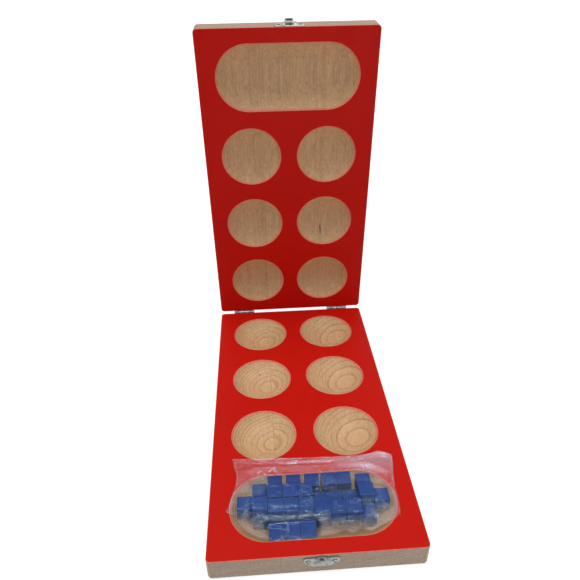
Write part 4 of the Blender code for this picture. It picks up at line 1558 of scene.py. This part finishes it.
@dataclass
class Studio:
    """White floor, soft light from above and the photograph's view."""

    focal_pixels: float = 546.86
    camera_place: Place = (-0.0268, -0.3258, 0.3363)
    camera_turn: Place = (57.397, 0.739, -3.780)
    ambient: float = 0.36
    lamps: tuple[Lamp, ...] = (
        Lamp("overhead", (-0.20, -0.15, 2.30), (0.0, 0.0, 0.0), 1.5, 30.5),
        Lamp("front_fill", (0.15, -0.60, 0.14), (0.0, 0.12, 0.05), 0.30, 0.5),
        Lamp("ceiling_spot", (-0.35, 0.45, 1.20), (0.0, -0.09, 0.02), 0.07, 0.20),
        Lamp("side_spot", (0.45, 0.15, 1.00), (0.0, -0.09, 0.02), 0.07, 0.3),
    )

    def camera(self) -> None:
        """Set up the photograph's camera."""
        data = bpy.data.cameras.new("camera")
        data.sensor_width = 36.0
        data.lens = self.focal_pixels / IMAGE_SIZE * data.sensor_width
        data.clip_start = 0.01
        data.clip_end = 20.0
        turn = Euler([math.radians(part) for part in self.camera_turn], "XYZ")
        bpy.context.scene.camera = put("camera", data, self.camera_place, turn)

    def seen_rays(self, bench: NodeBench) -> Socket:
        """Return 1 on the rays that should see a white room.

        Args:
            bench: The bench of the world or the floor.

        Returns:
            A mask.
        """
        path = bench.add("LightPath").outputs
        seen = bench.math("MAXIMUM", path["Is Camera Ray"], path["Is Glossy Ray"])
        return bench.math("MAXIMUM", seen, path["Is Transmission Ray"])

    def world(self) -> None:
        """Light the room evenly, and show it white."""
        world = bpy.data.worlds.new("room")
        world.use_nodes = True
        bpy.context.scene.world = world
        bench = NodeBench(world.node_tree)
        nodes = world.node_tree.nodes
        lit = bench.dress(nodes["Background"], {"Color": (1.0, 0.985, 0.965, 1.0), "Strength": self.ambient})
        white = bench.add("Background", {"Color": WHITE, "Strength": 1.0})
        both = bench.add("MixShader", {0: self.seen_rays(bench), 1: lit.outputs[0], 2: white.outputs[0]})
        bench.dress(nodes["World Output"], {"Surface": both.outputs[0]})

    def floor(self) -> None:
        """Lay the pale floor, which glows more towards the horizon."""
        shape = bmesh.new()
        bmesh.ops.create_grid(shape, x_segments=1, y_segments=1, size=4.0)
        surface, bench, shader = new_material("pale_floor")
        bench.dress(shader, {"Base Color": (0.72, 0.72, 0.72, 1.0), "Roughness": 0.9,
                             "Specular IOR Level": 0.0})
        reach = bench.length(bench.place())
        glow = bench.times(self.seen_rays(bench), bench.ease(reach, 0.35, 1.4, 0.60, 0.95))
        lit = bench.add("Emission", {"Color": WHITE, "Strength": glow})
        both = bench.add("AddShader", {0: shader.outputs[0], 1: lit.outputs[0]})
        bench.dress(surface.node_tree.nodes["Material Output"], {"Surface": both.outputs[0]})
        object_from("floor", shape, (surface,))

    def build(self) -> None:
        """Set up the whole studio."""
        self.camera()
        self.world()
        self.floor()
        for lamp in self.lamps:
            lamp.hang()
        bpy.context.scene.view_settings.view_transform = "Standard"


def upper_placement(turn: Optional[float] = None) -> Matrix:
    """Return the upper leaf's place: face down on the lower one, then swung open.

    Args:
        turn: How far it is swung, in degrees; the photograph's angle if left out.

    Returns:
        The place of the leaf's own frame in the part's frame.
    """
    joint = next(joint for joint in frame["joints"] if joint["name"] == "board_fold")
    axis = Vector(joint["pos_m"])
    swung = joint["range_deg"][0] if turn is None else turn
    closed = Matrix.Translation((0.0, -axis.y, axis.z)) @ Matrix.Rotation(math.pi, 4, "Y")
    return Matrix.Translation(axis) @ Matrix.Rotation(math.radians(swung), 4, "X") @ closed


def dress_fittings(nickel: Material) -> None:
    """Model the screws again, and give the other metal pieces their finish.

    Args:
        nickel: The metal's material.
    """
    swing = upper_placement().to_3x3() @ Matrix.Rotation(-math.pi, 3, "Y")
    for node, item in frame["nodes"].items():
        if not node.startswith(("hinge_", "hasp_", "keeper_")):
            continue
        if "_screw_" not in node:
            item.data.materials.clear()
            item.data.materials.append(nickel)
            continue
        in_hinge = node.startswith("hinge_")
        lifted = "_upper_" in node or node.startswith("hasp_")
        outward = Vector((0.0, 1.0 if in_hinge else -1.0, 0.0))
        Screw(node, Body.UPPER if lifted else Body.LOWER, swing @ outward if lifted else outward,
              HeadStyle.COUNTERSUNK if in_hinge else HeadStyle.ROUND,
              head_radius=0.0015 if in_hinge else 0.0014).build(nickel)


def main() -> None:
    """Build the scene."""
    logging.basicConfig(level=logging.INFO, format="%(name)s: %(message)s")
    shop = Workshop()
    Studio().build()
    lower_wood = BeechFinish(
        heart_x=-0.077, heart_z=0.308, ring_pitch=0.0023, pitch_step=0.0006, ring_strength=1.0,
        streak_strength=0.25, thread_strength=0.25, glue_line=-0.0240,
        tint=(1.03, 1.0, 0.92, 1.0), end_tint=(0.61, 0.72, 1.0, 1.0),
        marks=(Mark((-0.03331, 0.04604, 0.00951), (0.0013, 0.0005, 0.0010), 0.75),),
    )
    # The upper leaf's wood tint is darker than the lower's: painted shade for the upright leaf, beside its
    # own grain.
    upper_wood = BeechFinish(
        heart_x=0.45, heart_z=0.06, ring_pitch=0.0026, pitch_step=0.0003, ring_strength=0.35,
        streak_strength=0.45, thread_strength=0.55, glue_line=-0.0236,
        tint=(0.91, 0.845, 0.765, 1.0), end_tint=(0.65, 0.68, 0.87, 1.0),
        marks=(Mark((0.0291, 0.1363, 0.1068), (0.00075, 0.0030, 0.0082), 1.0),),
    )
    # The upper leaf's red is a darker copy of the lower leaf's paint: painted shade for the upright leaf,
    # which gets less light.
    shade_painted_red = RedPaint(deep=(0.50, 0.0055, 0.0025, 1.0), bright=(0.56, 0.008, 0.0035, 1.0))
    lower = Leaf("lower_leaf", Body.LOWER, Matrix.Identity(4), lower_wood).build(shop)
    upper = Leaf("upper_leaf", Body.UPPER, upper_placement(), upper_wood, shade_painted_red).build(shop)
    dress_fittings(NickelFinish().material("nickel_plate", shop))
    stain = BlueStain().material("blue_stained_wood", shop)
    tones = random.Random(11)
    cubes = PlayingCubes()
    for node in sorted(name for name in frame["nodes"] if name.startswith("cube_")):
        cubes.build(node, tones.random(), stain)
    FilmBag().build(lower, upper, ClearFilm().material("clear_film_sheet"))


if __name__ == "__main__":
    main()
